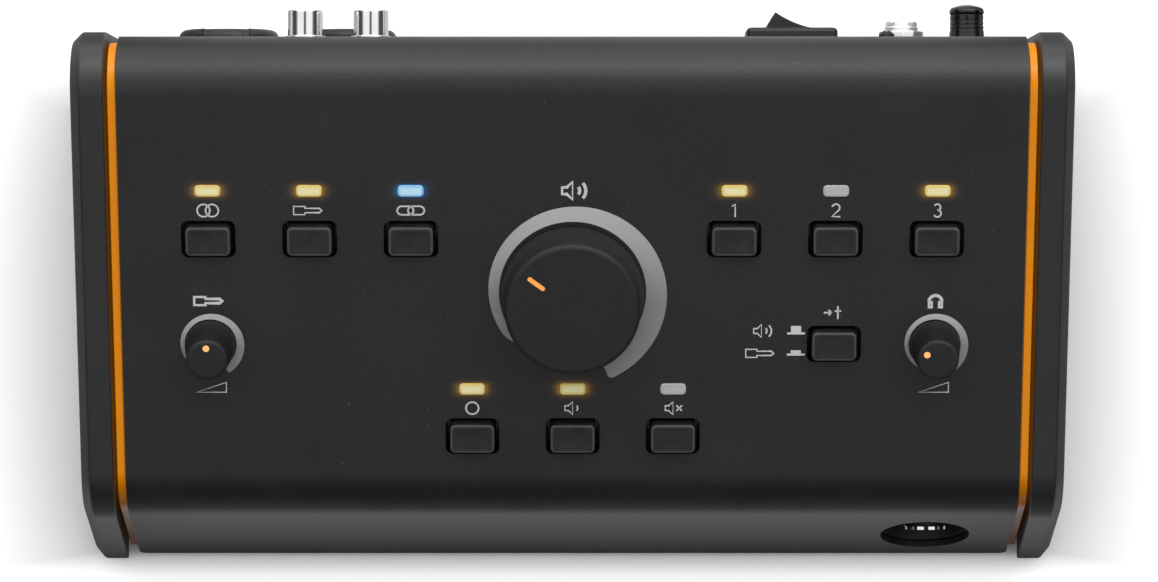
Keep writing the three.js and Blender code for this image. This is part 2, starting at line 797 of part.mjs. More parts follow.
// The rocker rests tilted, on a pivot that runs up through the wall's face.
function powerRocker() {
  const { halfTop, halfWaist, crest, dip, halfHeel, heel } = rocker;
  const sag = v2(0, crest - 2 * dip);
  const valley = new THREE.QuadraticBezierCurve(v2(halfTop, crest), sag, v2(-halfTop, crest));
  const outline = [
    v2(-halfHeel, -heel),
    v2(halfHeel, -heel),
    v2(halfWaist, 0),
    ...valley.getPoints(2 * bendSteps),
    v2(-halfWaist, 0),
  ];
  const thickness = powerSwitch.wellHeight - 2 * runGap;
  const solid = prism(outline, -thickness / 2, thickness / 2).rotateX(quarter);
  const mesh = piece("power_rocker", solid, blackPlastic);
  mesh.rotation.y = -rad(rocker.tiltDegrees);
  return mesh;
}

function powerSwitchGroup() {
  const place = new THREE.Group();
  place.add(switchFrame(), powerRocker());
  place.position.set(switchX, rear.midRow, 0);
  return place;
}

function dcJack() {
  const { nutRadius, nutProud, noseRadius, noseProud, boreRadius, boreDepth } = powerJack;
  const nut = rod(nutRadius, seatGap, nutProud, powerJack.nutSides);
  const nose = rod(noseRadius, inside - overrun, noseProud, smallSides);
  const body = rod(powerJack.bodyRadius, inside - powerJack.bodyDepth, inside - seatGap, smallSides);
  const ring = turned(
    [
      [powerJack.pinRadius, noseProud - boreDepth],
      [boreRadius, noseProud - boreDepth],
      [boreRadius, noseProud + overrun],
      [powerJack.pinRadius, noseProud + overrun],
      [powerJack.pinRadius, noseProud - boreDepth],
    ],
    smallSides,
  );
  const pinTop = rod(boreRadius, noseProud - powerJack.pinSetback, noseProud + overrun, smallSides);
  const mesh = piece("dc_jack", cut(join(nose, nut, body), ring, pinTop), brightNickel);
  mesh.position.set(powerJackX, rear.midRow, 0);
  return mesh;
}

function cablePostPiece() {
  const { radius, proud, dome, grooves, grooveDepth, stemRadius, nutRadius, nutHeight } = cablePost;
  const shoulder = proud - dome;
  const pitch = (shoulder - seatGap) / (2 * grooves + 1);
  const ribs = Array.from({ length: 2 * grooves + 1 }, (_, i) => {
    const r = i % 2 ? radius - grooveDepth : radius;
    return [[r, seatGap + i * pitch], [r, seatGap + (i + 1) * pitch]];
  }).flat();
  const cap = Array.from({ length: edgeSteps }, (_, i) => {
    const angle = ((i + 1) * quarter) / (edgeSteps + 1);
    return [radius * Math.cos(angle), shoulder + dome * Math.sin(angle)];
  });
  const nutTop = inside - seatGap;
  const profile = [
    [0, nutTop - nutHeight],
    [nutRadius, nutTop - nutHeight],
    [nutRadius, nutTop],
    [stemRadius, nutTop],
    [stemRadius, seatGap],
    ...ribs,
    ...cap,
    [0, proud],
  ];
  const mesh = piece("cable_post", toGeometry(toSolid(turned(profile, smallSides))), blackPlastic);
  mesh.position.set(postX, rear.midRow, 0);
  return mesh;
}

// Headphone socket: a cup behind the sloping hole, and the level jack that stands in it.
// In this frame Z points to the front, and the nose's mouth lies behind the slope.

function phonesPieces() {
  const mouth = -phones.noseSetback;
  const floor = mouth - phones.floorDepth;
  const back = floor - phones.cupWall;
  const inner = phones.holeRadius * Math.sin(frontTilt);
  const outer = inner + phones.cupWall;
  const reach = outer + phones.holeRadius;
  const tube = cut(
    rod(outer, back, reach, fineSides),
    rod(inner, floor, reach + overrun, fineSides),
    rod(phones.noseRadius + seatGap, back - overrun, floor + overrun, smallSides),
  );
  const lean = quarter - frontTilt;
  const front = prism(rectangle(2 * reach, 2 * reach), inside - seatGap, 2 * reach).rotateX(-lean);
  const cup = piece("phones_cup", cut(tube, front), blackPlastic);

  const edge = [
    [phones.noseRadius, mouth - phones.noseEdge],
    [phones.noseRadius - phones.noseEdge, mouth],
  ];
  const bodyTop = back - seatGap;
  const nose = turned([[0, bodyTop - overrun], [phones.noseRadius, bodyTop - overrun], ...edge, [0, mouth]],
    smallSides);
  const body = prism(rectangle(phones.body, phones.body), bodyTop - phones.bodyDepth, bodyTop);
  const bore = rod(plugBore.radius, mouth - plugBore.depth, mouth + overrun, smallSides);
  const jack = piece("phones_jack", cut(join(nose, body), bore), blackPlastic);
  return [cup, jack];
}

// Assembly

const placed = (matrix, ...pieces) => {
  const group = new THREE.Group();
  group.applyMatrix4(matrix);
  group.add(...pieces);
  return group;
};

const assembly = new THREE.Group();
assembly.add(
  topShell(),
  baseTray(),
  ...sidePieces(),
  ...rubberFeet(),
  placed(onPanel, mainBoard(), ...buttons.map(buttonCap), ...lamps.map(lampLens), ...dials.map(dialGroup)),
  placed(
    onRear,
    rearBoard(),
    ...combos.map((place, i) => comboJack("combo_jack_" + (i + 1), place)),
    ...phonos.map((place, i) => phonoJack("phono_jack_" + (i + 1), place)),
    ...outputs.map((place, i) => outputSocket("output_jack_" + (i + 1), place)),
    powerSwitchGroup(),
    dcJack(),
    cablePostPiece(),
  ),
  placed(levelAtPhones, ...phonesPieces()),
);

// The origin is the middle of the footprint, on the surface that the feet stand on.
assembly.updateMatrixWorld(true);
const bounds = new THREE.Box3().setFromObject(assembly, true);
const middle = bounds.getCenter(new THREE.Vector3());
assembly.position.set(-middle.x, -middle.y, -bounds.min.z);

const monitorController = new THREE.Group();
monitorController.add(assembly);
export default monitorController;
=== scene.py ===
import json
import math

import bmesh
import bpy
from mathutils import Matrix, Vector


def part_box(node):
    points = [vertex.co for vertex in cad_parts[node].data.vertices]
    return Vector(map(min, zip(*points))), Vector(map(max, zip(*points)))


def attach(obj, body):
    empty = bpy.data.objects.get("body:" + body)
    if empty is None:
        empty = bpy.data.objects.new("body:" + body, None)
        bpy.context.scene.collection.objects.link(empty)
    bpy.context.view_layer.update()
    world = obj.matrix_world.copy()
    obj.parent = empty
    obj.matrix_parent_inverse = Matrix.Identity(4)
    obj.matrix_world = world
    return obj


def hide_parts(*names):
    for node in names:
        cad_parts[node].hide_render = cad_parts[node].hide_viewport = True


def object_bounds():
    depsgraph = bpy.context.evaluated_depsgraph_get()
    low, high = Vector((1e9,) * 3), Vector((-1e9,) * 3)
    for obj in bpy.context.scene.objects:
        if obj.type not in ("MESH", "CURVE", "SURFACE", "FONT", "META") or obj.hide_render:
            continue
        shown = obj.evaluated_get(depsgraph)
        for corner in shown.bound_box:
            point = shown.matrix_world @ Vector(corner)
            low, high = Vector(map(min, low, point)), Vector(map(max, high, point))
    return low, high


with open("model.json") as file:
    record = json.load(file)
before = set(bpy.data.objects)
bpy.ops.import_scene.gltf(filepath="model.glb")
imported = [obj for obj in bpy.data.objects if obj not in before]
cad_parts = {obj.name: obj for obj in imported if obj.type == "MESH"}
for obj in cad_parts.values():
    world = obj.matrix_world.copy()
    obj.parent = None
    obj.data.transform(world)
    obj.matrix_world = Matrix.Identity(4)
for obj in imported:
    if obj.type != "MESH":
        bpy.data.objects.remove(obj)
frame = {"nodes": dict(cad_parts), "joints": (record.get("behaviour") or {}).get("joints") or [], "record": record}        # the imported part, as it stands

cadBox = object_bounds()
mm = 0.001


# What the frame says about the faces that things stand on

joints = {joint["name"]: joint for joint in frame["joints"]}
right = Vector((1, 0, 0))
rear = Vector((0, 1, 0))
up = Vector((0, 0, 1))
panelNormal = Vector(joints["main_turn"]["axis"]).normalized()
panelPoint = Vector(joints["main_turn"]["pos_m"])
upSlope = panelNormal.cross(right)
panelTilt = math.atan2(-panelNormal.y, panelNormal.z)
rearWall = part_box("top_shell")[1].y
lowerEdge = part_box("top_shell")[0].z


def middleOf(node):
    low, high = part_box(node)
    return (low + high) / 2


def standOn(origin, across, along, out):  # a frame in millimetres, whose Z points out of a face
    turn = Matrix((across, along, out)).transposed().to_4x4()
    return Matrix.Translation(origin) @ turn @ Matrix.Scale(mm, 4)


def onPanel(point):
    foot = point - panelNormal * (point - panelPoint).dot(panelNormal)
    return standOn(foot, right, upSlope, panelNormal)


def onRear(point):
    return standOn(Vector((point.x, rearWall, point.z)), -right, up, rear)


def dialFrame(name):
    joint = joints[name + "_turn"]
    return standOn(Vector(joint["pos_m"]), right, upSlope, panelNormal)


# Node trees. A wire is one output of a node, and sums on numbers add Math nodes.

class Wire:
    def __init__(self, graph, socket):
        self.graph = graph
        self.socket = socket

    def __add__(self, other):
        return self.graph.math("ADD", self, other)

    def __radd__(self, other):
        return self.graph.math("ADD", other, self)

    def __sub__(self, other):
        return self.graph.math("SUBTRACT", self, other)

    def __rsub__(self, other):
        return self.graph.math("SUBTRACT", other, self)

    def __mul__(self, other):
        return self.graph.math("MULTIPLY", self, other)

    def __rmul__(self, other):
        return self.graph.math("MULTIPLY", other, self)

    def __truediv__(self, other):
        return self.graph.math("DIVIDE", self, other)

    def __rtruediv__(self, other):
        return self.graph.math("DIVIDE", other, self)


class Graph:
    def __init__(self, tree):
        self.tree = tree

    def node(self, kind, settings=None, sockets=None, out=0):
        made = self.tree.nodes.new(kind)
        for name, value in (settings or {}).items():
            if name == "stops":
                self.fillRamp(made.color_ramp, value)
            else:
                setattr(made, name, value)
        for name, value in (sockets or {}).items():
            self.feed(made.inputs[name], value)
        return Wire(self, made.outputs[out])

    def feed(self, socket, value):
        for item in value if type(value) is list else [value]:
            if type(item) is Wire:
                self.tree.links.new(item.socket, socket)
            else:
                socket.default_value = item

    def fillRamp(self, ramp, stops):
        while len(ramp.elements) < len(stops):
            ramp.elements.new(1)
        for element, (position, colour) in zip(ramp.elements, stops):
            element.position = position
            element.color = colour

    def parts(self, vector):  # x, y and z as wires
        split = self.node("ShaderNodeSeparateXYZ", {}, {0: vector}).socket.node
        return [Wire(self, socket) for socket in split.outputs]

    def vector(self, x=0.0, y=0.0, z=0.0):
        return self.node("ShaderNodeCombineXYZ", {}, {0: x, 1: y, 2: z})

    def polar(self, radius, angle):
        return self.vector(radius * self.math("COSINE", angle), radius * self.math("SINE", angle))

    def math(self, operation, first, second=0.0):
        return self.node("ShaderNodeMath", {"operation": operation}, {0: first, 1: second})

    def between(self, value, low, high):  # 0 at low, 1 at high
        return self.node("ShaderNodeMapRange", {"clamp": True}, {0: value, 1: low, 2: high})

    def mix(self, factor, first, second):
        sockets = {0: factor, 6: first, 7: second}
        return self.node("ShaderNodeMix", {"data_type": "RGBA"}, sockets, 2)


def tone(code):  # a screen colour as the light that it stands for
    parts = [int(code[i:i + 2], 16) / 255 for i in (1, 3, 5)]
    return (*[p / 12.92 if p < 0.04045 else ((p + 0.055) / 1.055) ** 2.4 for p in parts], 1)


class Finish(Graph):  # a material, with the textures that most finishes share
    def __init__(self, name):
        self.material = bpy.data.materials.new(name)
        self.material.use_nodes = True
        super().__init__(self.material.node_tree)
        self.shader = self.tree.nodes["Principled BSDF"]
        self.place = self.node("ShaderNodeTexCoord", {}, {}, "Object")

    def noise(self, size, detail=2.0, roughness=0.5, stretch=None):  # size in millimetres
        where = self.place
        if stretch:
            where = self.node("ShaderNodeMapping", {}, {"Vector": where, "Scale": stretch})
        sockets = {"Vector": where, "Scale": 1 / (size * mm), "Detail": detail, "Roughness": roughness}
        return self.node("ShaderNodeTexNoise", {}, sockets)

    def local(self):  # millimetres in the piece's own frame
        return self.node("ShaderNodeAttribute", {"attribute_name": "local"}, {}, "Vector")

    def edges(self, radius):  # 1 on edges and corners, 0 on flats
        plain = self.node("ShaderNodeNewGeometry", {}, {}, "Normal")
        rounded = self.node("ShaderNodeBevel", {"samples": 4}, {"Radius": radius * mm})
        sockets = {0: plain, 1: rounded}
        dot = self.node("ShaderNodeVectorMath", {"operation": "DOT_PRODUCT"}, sockets, "Value")
        return self.between(dot, 0.995, 0.80)

    def worn(self, radius, patches, low=0.35, high=0.65):  # edges, where the patches are high
        return self.edges(radius) * self.between(patches, low, high)

    def blend(self, value, low, high, dark, light):
        return self.mix(self.between(value, low, high), tone(dark), tone(light))

    def bump(self, height, depth):
        return self.node("ShaderNodeBump", {}, {"Height": height, "Distance": depth * mm, "Strength": 1.0})

    def surface(self, **sockets):
        for name, value in sockets.items():
            self.feed(self.shader.inputs[name.replace("_", " ")], value)
        return self.material


# Finishes

black = (0, 0, 0, 1)
white = (1, 1, 1, 1)
lamps = {
    "size": (6.1, 2.8),
    "corner": 0.95,
    # height over the panel, and how far the outline has drawn in
    "levels": [(-7.8, 0.0), (0.12, 0.0), (0.24, 0.05), (0.32, 0.16), (0.35, 0.4)],
    "border": (-0.85, -0.15),   # from the outline, where a lens takes its rim's tone
    "glow": 0.22,
    "lit": ["stereo", "aux", "output_1", "output_3", "mono", "dim"],
    "blue": ["pair"],
    "haloReach": 0.42,
    "haloStretch": 0.62,        # across, against up the slope
    "haloGap": 0.15,
    "haloDepth": (-1.2, -0.4),  # under the panel, where the spilt light ends and is full
    "haloTone": "#e8ac3c",
    "haloBlue": "#2f86c8",
    "haloStrength": 0.2,
}
button = {
    "width": 10.6,
    "height": 7.1,
    "corner": 1.3,
    "cornerShare": 0.25,        # of an inset that its corner loses
    "leastCorner": 0.3,
    # height over the panel, and how far the outline has drawn in
    "levels": [
        (-7.3, 0.0), (1.7, 0.0), (2.05, 0.03), (2.22, 0.09), (2.33, 0.2), (2.4, 0.4), (2.38, 1.0),
        (2.33, 1.8), (2.31, 2.5),
    ],
    "highlightOuter": (-0.05, -0.3),  # from the outline, between which the painted highlight on the cap's rim lies
    "highlightInner": (-0.8, -0.5),
    "highlightHeight": (2.1, 2.3),
}


def beyondOutline(finish, x, y, width, height, corner, stretch=1.0):  # how far outside a rounded outline
    dx = finish.math("MAXIMUM", finish.math("ABSOLUTE", x) - (width / 2 - corner), 0.0) * stretch
    dy = finish.math("MAXIMUM", finish.math("ABSOLUTE", y) - (height / 2 - corner), 0.0)
    return finish.math("SQRT", dx * dx + dy * dy) - corner


def lampHalo(finish, names):  # light that a lens spills on the coat round it
    x, y, z = finish.parts(finish.place)
    slope = (y * upSlope.y + z * upSlope.z) / mm
    across = x / mm
    over = (y * panelNormal.y + z * panelNormal.z) / mm - panelPoint.dot(panelNormal) / mm
    outline = (*lamps["size"], lamps["corner"], lamps["haloStretch"])
    total = 0.0
    for name in names:
        centre = middleOf(name + "_lamp") / mm
        spot = (across - centre.x, slope - centre.dot(upSlope))
        gap = beyondOutline(finish, *spot, *outline) + lamps["haloGap"]
        total = total + finish.math("EXPONENT", gap * (-1 / lamps["haloReach"]))
    return finish.between(total * finish.between(over, *lamps["haloDepth"]), 0.0, 1.0)


def coverCoat(name, dark, light, speck, edgeTone):
    finish = Finish(name)
    grain = finish.noise(0.5, 3.0, 0.6)
    blotch = finish.noise(22.0, 2.0)
    specks = finish.between(finish.noise(1.3, 1.0), 0.79, 0.83)
    worn = finish.worn(0.35, finish.noise(2.2, 3.0), 0.42, 0.7)
    colour = finish.blend(grain * 0.7 + blotch * 0.3, 0.3, 0.7, dark, light)
    colour = finish.mix(specks * 0.5, colour, tone(speck))
    colour = finish.mix(worn * 0.3, colour, tone(edgeTone))
    glow = finish.mix(lampHalo(finish, lamps["lit"]), black, tone(lamps["haloTone"]))
    glow = finish.mix(lampHalo(finish, lamps["blue"]), glow, tone(lamps["haloBlue"]))
    return finish.surface(
        Base_Color=colour,
        Roughness=0.34 + grain * 0.1 - worn * 0.08,
        Specular_IOR_Level=0.5,
        Emission_Color=glow,
        Emission_Strength=lamps["haloStrength"],
        Normal=finish.bump(grain, 0.03),
    )


def cheekCoat(name, dark, light, edgeTone):
    finish = Finish(name)
    grain = finish.noise(0.3, 3.0, 0.62)
    blotch = finish.noise(30.0, 2.0)
    worn = finish.worn(0.5, finish.noise(3.0, 3.0), 0.4, 0.7)
    colour = finish.blend(grain * 0.65 + blotch * 0.35, 0.3, 0.7, dark, light)
    colour = finish.mix(worn * 0.25, colour, tone(edgeTone))
    return finish.surface(
        Base_Color=colour,
        Roughness=0.4 + grain * 0.14 - worn * 0.08,
        Specular_IOR_Level=0.5,
        Coat_Weight=0.3,
        Coat_Roughness=0.2,
        Normal=finish.bump(grain, 0.02),
    )


# From the plate's front edge, and from the cover's lower edge: where its shade begins and is full
inlayShade = {"front": (0.019, 0.009), "foot": (0.006, 0.003), "share": 0.93}


def inlayGloss(name, dark, light, edgeTone, shade):
    finish = Finish(name)
    _, y, z = finish.parts(finish.place)
    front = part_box("side_inlay_left")[0].y
    shaded = finish.between(y, *[front + reach for reach in inlayShade["front"]])
    foot = finish.between(z, *[lowerEdge + reach for reach in inlayShade["foot"]])
    shaded = finish.math("MAXIMUM", shaded, foot)
    drift = finish.noise(35.0, 2.0)
    scratch = finish.noise(0.5, 4.0, 0.7, (1, 0.06, 0.06))
    colour = finish.mix(drift, tone(dark), tone(light))
    # paler orange on every edge of the plate: a painted highlight
    colour = finish.mix(finish.edges(0.25) * 0.5, colour, tone(edgeTone))
    colour = finish.mix(shaded * inlayShade["share"], colour, tone(shade))
    return finish.surface(
        Base_Color=colour,
        Roughness=0.16 + finish.between(scratch, 0.5, 0.8) * 0.12,
        Specular_IOR_Level=0.22,
        Coat_Weight=0.25,
        Coat_Roughness=0.04,
        # the plate glows with its own colour: painted light that makes it look brighter
        Emission_Color=colour,
        Emission_Strength=0.34,
        Normal=finish.bump(drift, 0.02),
    )


knobSideShade = (12.1, 11.4)     # heights between which a knob's tone changes from its top's to its side's darker one: painted shade on the side


def knobPlastic(name, dark, light, side, edgeTone):
    finish = Finish(name)
    grain = finish.noise(0.26, 3.0, 0.6)
    worn = finish.worn(0.3, finish.noise(9.0, 2.0))
    _, _, height = finish.parts(finish.local())
    colour = finish.blend(grain, 0.35, 0.65, dark, light)
    # the knob's side is darker than its top: painted shade
    colour = finish.mix(finish.between(height, *knobSideShade) * 0.8, colour, tone(side))
    colour = finish.mix(worn * 0.35, colour, tone(edgeTone))
    return finish.surface(
        Base_Color=colour,
        Roughness=0.5 + grain * 0.12 - worn * 0.12,
        Specular_IOR_Level=0.4,
        Normal=finish.bump(grain, 0.012),
    )


def capPlastic(name, dark, light, rimHighlight):
    finish = Finish(name)
    grain = finish.noise(0.4, 4.0, 0.65)
    cloud = finish.noise(2.6, 2.0)
    x, y, height = finish.parts(finish.local())
    beyond = beyondOutline(finish, x, y, button["width"], button["height"], button["corner"])
    # a pale band along the top edge of the cap: a painted highlight
    rim = finish.between(beyond, *button["highlightInner"]) * finish.between(beyond, *button["highlightOuter"])
    rim = rim * finish.between(height, *button["highlightHeight"])
    colour = finish.blend(cloud, 0.3, 0.7, dark, light)
    colour = finish.mix(rim * 0.55, colour, tone(rimHighlight))
    return finish.surface(
        Base_Color=colour,
        Roughness=0.32 + cloud * 0.2,
        Specular_IOR_Level=0.5,
        Normal=finish.bump(grain, 0.02),
    )


def lens(name, rim, core, glow=lamps["glow"]):
    finish = Finish(name)
    x, y, _ = finish.parts(finish.local())
    border = finish.between(beyondOutline(finish, x, y, *lamps["size"], lamps["corner"]), *lamps["border"])
    milk = finish.noise(0.8, 3.0)
    colour = finish.mix(border * (0.75 + milk * 0.3), tone(core), tone(rim))
    return finish.surface(
        Base_Color=colour,
        Roughness=0.3 + milk * 0.12,
        Coat_Weight=0.3,
        Coat_Roughness=0.1,
        Emission_Color=colour,
        Emission_Strength=glow,
        Normal=finish.bump(milk, 0.01),
    )


def paint(name, dark, light, roughness, glow=0.0):
    finish = Finish(name)
    grain = finish.noise(0.35, 3.0, 0.6)
    colour = finish.blend(grain, 0.32, 0.68, dark, light)
    return finish.surface(
        Base_Color=colour,
        Roughness=roughness + grain * 0.1,
        Emission_Color=colour,
        Emission_Strength=glow,
        Normal=finish.bump(grain, 0.006),
    )


def scalePaint(name, dark, light, upper):  # brighter towards the upper side of a scale: a painted highlight where its gloss catches the light
    finish = Finish(name)
    grain = finish.between(finish.noise(0.35, 3.0, 0.6), 0.32, 0.68)
    x, y, _ = finish.parts(finish.local())
    upperHighlight = finish.between(y / finish.math("SQRT", x * x + y * y), -0.1, 0.95)
    plain = finish.mix(grain, tone(dark), tone(light))
    return finish.surface(
        Base_Color=finish.mix(upperHighlight, plain, tone(upper)),
        Roughness=0.5 + grain * 0.05,
        Normal=finish.bump(grain, 0.003),
    )


def metal(name, dark, light, roughness, stretch):
    finish = Finish(name)
    brush = finish.noise(0.5, 4.0, 0.65, stretch)
    stain = finish.noise(5.0, 3.0)
    return finish.surface(
        Base_Color=finish.blend(brush * 0.5 + stain * 0.5, 0.35, 0.65, dark, light),
        Metallic=1.0,
        Roughness=(brush * 0.5 + stain * 0.3 - finish.edges(0.2) * 0.1 + 0.6) * roughness,
        Normal=finish.bump(brush, 0.006),
    )


def moulded(name, dark, light, roughness, grainSize, depth, edgeTone="#6a6a68"):
    finish = Finish(name)
    grain = finish.noise(grainSize, 3.0, 0.6)
    cloud = finish.noise(12.0, 2.0)
    worn = finish.worn(0.25, cloud)
    colour = finish.blend(grain * 0.6 + cloud * 0.4, 0.35, 0.65, dark, light)
    return finish.surface(
        Base_Color=finish.mix(worn * 0.25, colour, tone(edgeTone)),
        Roughness=roughness + grain * 0.12 - worn * 0.05,
        Normal=finish.bump(grain, depth),
    )


def boardLacquer(name, dark, light, track):
    finish = Finish(name)
    weave = finish.noise(0.7, 2.0, 0.5, (1, 0.3, 1))
    cells = {"Vector": finish.place, "Scale": 420.0}
    tracks = finish.between(finish.node("ShaderNodeTexVoronoi", {"distance": "MANHATTAN"}, cells), 0.3, 0.36)
    colour = finish.mix(weave, tone(dark), tone(light))
    return finish.surface(
        Base_Color=finish.mix(tracks * 0.4, colour, tone(track)),
        Roughness=0.32 + weave * 0.15,
        Coat_Weight=0.4,
        Normal=finish.bump(tracks, 0.03),
    )


alongY, alongZ = (1, 0.08, 1), (1, 1, 0.1)     # ways of the brushing
looks = {  # what makes each finish, and its tones and values
    "cover_coat": (coverCoat, "#131314", "#272728", "#5a5a58", "#4c4c4b"),
    "cheek_coat": (cheekCoat, "#19191a", "#252627", "#505050"),
    "inlay_gloss": (inlayGloss, "#dc8000", "#e88e00", "#ffb455", "#3a2418"),
    "knob_plastic": (knobPlastic, "#1b1b1b", "#252525", "#0c0c0c", "#505050"),
    "cap_plastic": (capPlastic, "#161617", "#232324", "#5c5c5b"),
    "lens_warm": (lens, "#d2b455", "#e6dfaa"),
    "lens_blue": (lens, "#6cb0e2", "#b8dff3"),
    "lens_grey": (lens, "#b8b8b7", "#c4c4c3", 0.0),
    # the pointers' paint also glows: painted light
    "pointer_orange": (paint, "#f58a38", "#ffa95c", 0.4, 0.45),
    "pointer_amber": (paint, "#f4a24e", "#ffc68a", 0.35, 0.45),
    "panel_print": (paint, "#cecdcc", "#dfdfde", 0.5),
    "scale_print": (scalePaint, "#8c8c8b", "#9c9c9b", "#c0c0bf"),
    "plain_steel": (metal, "#a3a3a0", "#bcbcb9", 0.36, alongZ),
    "bright_nickel": (metal, "#e6e6e4", "#f4f4f2", 0.07, alongY),
    "satin_nickel": (metal, "#eeeeec", "#fafaf8", 0.42, alongY),
    "socket_black": (moulded, "#111112", "#1d1d1e", 0.3, 0.5, 0.012),
    "post_black": (moulded, "#060606", "#0b0b0c", 0.1, 0.7, 0.003),
    # a darker copy of the socket black for the headphone recess: painted shade
    "cup_black": (moulded, "#070707", "#0d0d0d", 0.55, 0.6, 0.01),
    "foot_rubber": (moulded, "#0e0e0e", "#1a1a1a", 0.72, 0.6, 0.03),
    "insulator_white": (moulded, "#d8d8d4", "#e8e8e4", 0.35, 0.6, 0.008),
    "insulator_red": (moulded, "#8e1512", "#ab201a", 0.35, 0.6, 0.008),
    "board_green": (boardLacquer, "#0c2814", "#153d20", "#22583a"),
}
finishes = {name: make(name, *values) for name, (make, *values) in looks.items()}
print("finishes:", len(finishes))


# Mesh building, in millimetres

def arc(x, y, radius, start, stop, steps):
    angles = [math.radians(start + (stop - start) * i / steps) for i in range(steps + 1)]
    return [(x + radius * math.cos(a), y + radius * math.sin(a)) for a in angles]


def circle(radius, steps=64):
    return arc(0, 0, radius, 0, 360, steps)[:-1]


def roundedBox(width, height, corner, steps=5):
    x = width / 2 - corner
    y = height / 2 - corner
    places = [(x, y, 0), (-x, y, 90), (-x, -y, 180), (x, -y, 270)]
    return [p for cx, cy, start in places for p in arc(cx, cy, corner, start, start + 90, steps)]


def eased(corners, steps):  # a profile of (x, y) corners, of which some have a rounding too
    points = []
    for i, (x, y, *rounding) in enumerate(corners):
        if not any(rounding):
            points.append((x, y))
            continue
        here = Vector((x, y))
        before = (Vector(corners[i - 1][:2]) - here).normalized() * rounding[0]
        after = (Vector(corners[i + 1][:2]) - here).normalized() * rounding[0]
        for k in range(steps + 1):
            t = k / steps
            spot = here + before * (1 - t) ** 2 + after * t ** 2
            points.append((spot.x, spot.y))
    return points


def newObject(name, mesh):
    made = bpy.data.objects.new(name, mesh)
    bpy.context.scene.collection.objects.link(made)
    return made


def loft(name, rings, capped=True):  # a skin over rings of equal count
    count = len(rings[0])
    corners = [p for ring in rings for p in ring]
    faces = []
    for row in range(len(rings) - 1):
        for i in range(count):
            a = row * count + i
            b = row * count + (i + 1) % count
            faces.append((a, b, b + count, a + count))
    if capped:
        faces.append(tuple(reversed(range(count))))
        faces.append(tuple(range(len(corners) - count, len(corners))))
    mesh = bpy.data.meshes.new(name)
    mesh.from_pydata(corners, [], faces)
    mend(mesh)
    return newObject(name, mesh)


def mend(mesh):  # poles and doubles merged, faces outwards
    work = bmesh.new()
    work.from_mesh(mesh)
    bmesh.ops.remove_doubles(work, verts=work.verts, dist=1e-5)
    bmesh.ops.dissolve_degenerate(work, edges=work.edges, dist=1e-6)
    bmesh.ops.recalc_face_normals(work, faces=work.faces)
    work.to_mesh(mesh)
    work.free()


fine = 96       # steps round a turned piece that shows well


def lathe(name, corners, steps=72, ease=4):  # corners (radius, z), from axis to axis or closed
    rings = [[(x, y, z) for x, y in circle(radius, steps)] for radius, z in eased(corners, ease)]
    return loft(name, rings, capped=False)


def slab(name, outline, bottom, top):
    return loft(name, [[(x, y, z) for x, y in outline] for z in (bottom, top)])


# Rounded boxes, one over another, each drawn in by an inset, a share of which its corner loses
def stack(name, levels, width, height, corner, steps=5, share=0.5, least=0.0):
    rings = []
    for z, inset in levels:
        box = roundedBox(width - 2 * inset, height - 2 * inset, max(corner - inset * share, least), steps)
        rings.append([(x, y, z) for x, y in box])
    return loft(name, rings)


def tube(inner, outer, bottom, top, outerEdge=0, innerEdge=0):  # its section, to be turned
    foot = (inner, bottom)
    return [foot, (outer, bottom), (outer, top, outerEdge), (inner, top, innerEdge), foot]


def settle(thing):  # modifiers become mesh
    depsgraph = bpy.context.evaluated_depsgraph_get()
    made = bpy.data.meshes.new_from_object(thing.evaluated_get(depsgraph))
    thing.modifiers.clear()
    thing.data = made


def fuse(name, things):
    work = bmesh.new()
    for thing in things:
        work.from_mesh(thing.data)
    mesh = bpy.data.meshes.new(name)
    work.to_mesh(mesh)
    work.free()
    for thing in things:
        bpy.data.objects.remove(thing)
    return newObject(name, mesh)


def shift(thing, matrix):
    thing.data.transform(matrix)
    return thing


def carve(thing, tools, operation="DIFFERENCE", name=None):
    cutter = fuse("cutter", tools)
    modifier = thing.modifiers.new("cut", "BOOLEAN")
    modifier.operation = operation
    modifier.solver = "EXACT"
    modifier.object = cutter
    settle(thing)
    bpy.data.objects.remove(cutter)
    thing.name = name or thing.name
    return thing


def roundEdges(thing, width, segments=2, angle=32):
    bevel = thing.modifiers.new("round", "BEVEL")
    bevel.width = width
    bevel.segments = segments
    bevel.limit_method = "ANGLE"
    bevel.angle_limit = math.radians(angle)
    settle(thing)
    mend(thing.data)
    return thing


recordSlots = [entry["slot"] for entry in frame["record"]["materials"]]


# The last step of each piece: its finish, its place, the body it rides on and the nodes it stands for
def dress(thing, finish, place=None, stands=(), body="case", sharp=38, slot=None):
    mesh = thing.data
    mesh.materials.clear()
    mesh.materials.append(finishes[finish])
    local = mesh.attributes.new("local", "FLOAT_VECTOR", "POINT")
    local.data.foreach_set("vector", [c for v in mesh.vertices for c in v.co])
    mesh.transform(place or Matrix.Scale(mm, 4))
    mesh.shade_smooth()
    mesh.set_sharp_from_angle(angle=math.radians(sharp))
    weighted = thing.modifiers.new("shade", "WEIGHTED_NORMAL")
    weighted.keep_sharp = True
    settle(thing)
    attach(thing, body)
    (slot or finish) in recordSlots
    if stands:
        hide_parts(*stands)


# The bent cover, the inlays and the cheeks share one side outline

case = {
    "sheet": 1.5,
    "panelLength": 92.2,
    "frontTilt": 71,
    "frontBend": 16,
    "rearBend": 11,
    "bendSteps": 26,
    "inlayRecess": 1.5,
    "inlayGap": 0.4,        # between an inlay and its cheek
    "cheekProud": 1.0,
    "cheekChamfer": 2.3,
    "cupGap": 0.3,          # between the headphone cup and the sheet
    "sheetEdge": 0.2,
    "plateEdge": 0.22,
    "cheekEdge": 0.45,
}


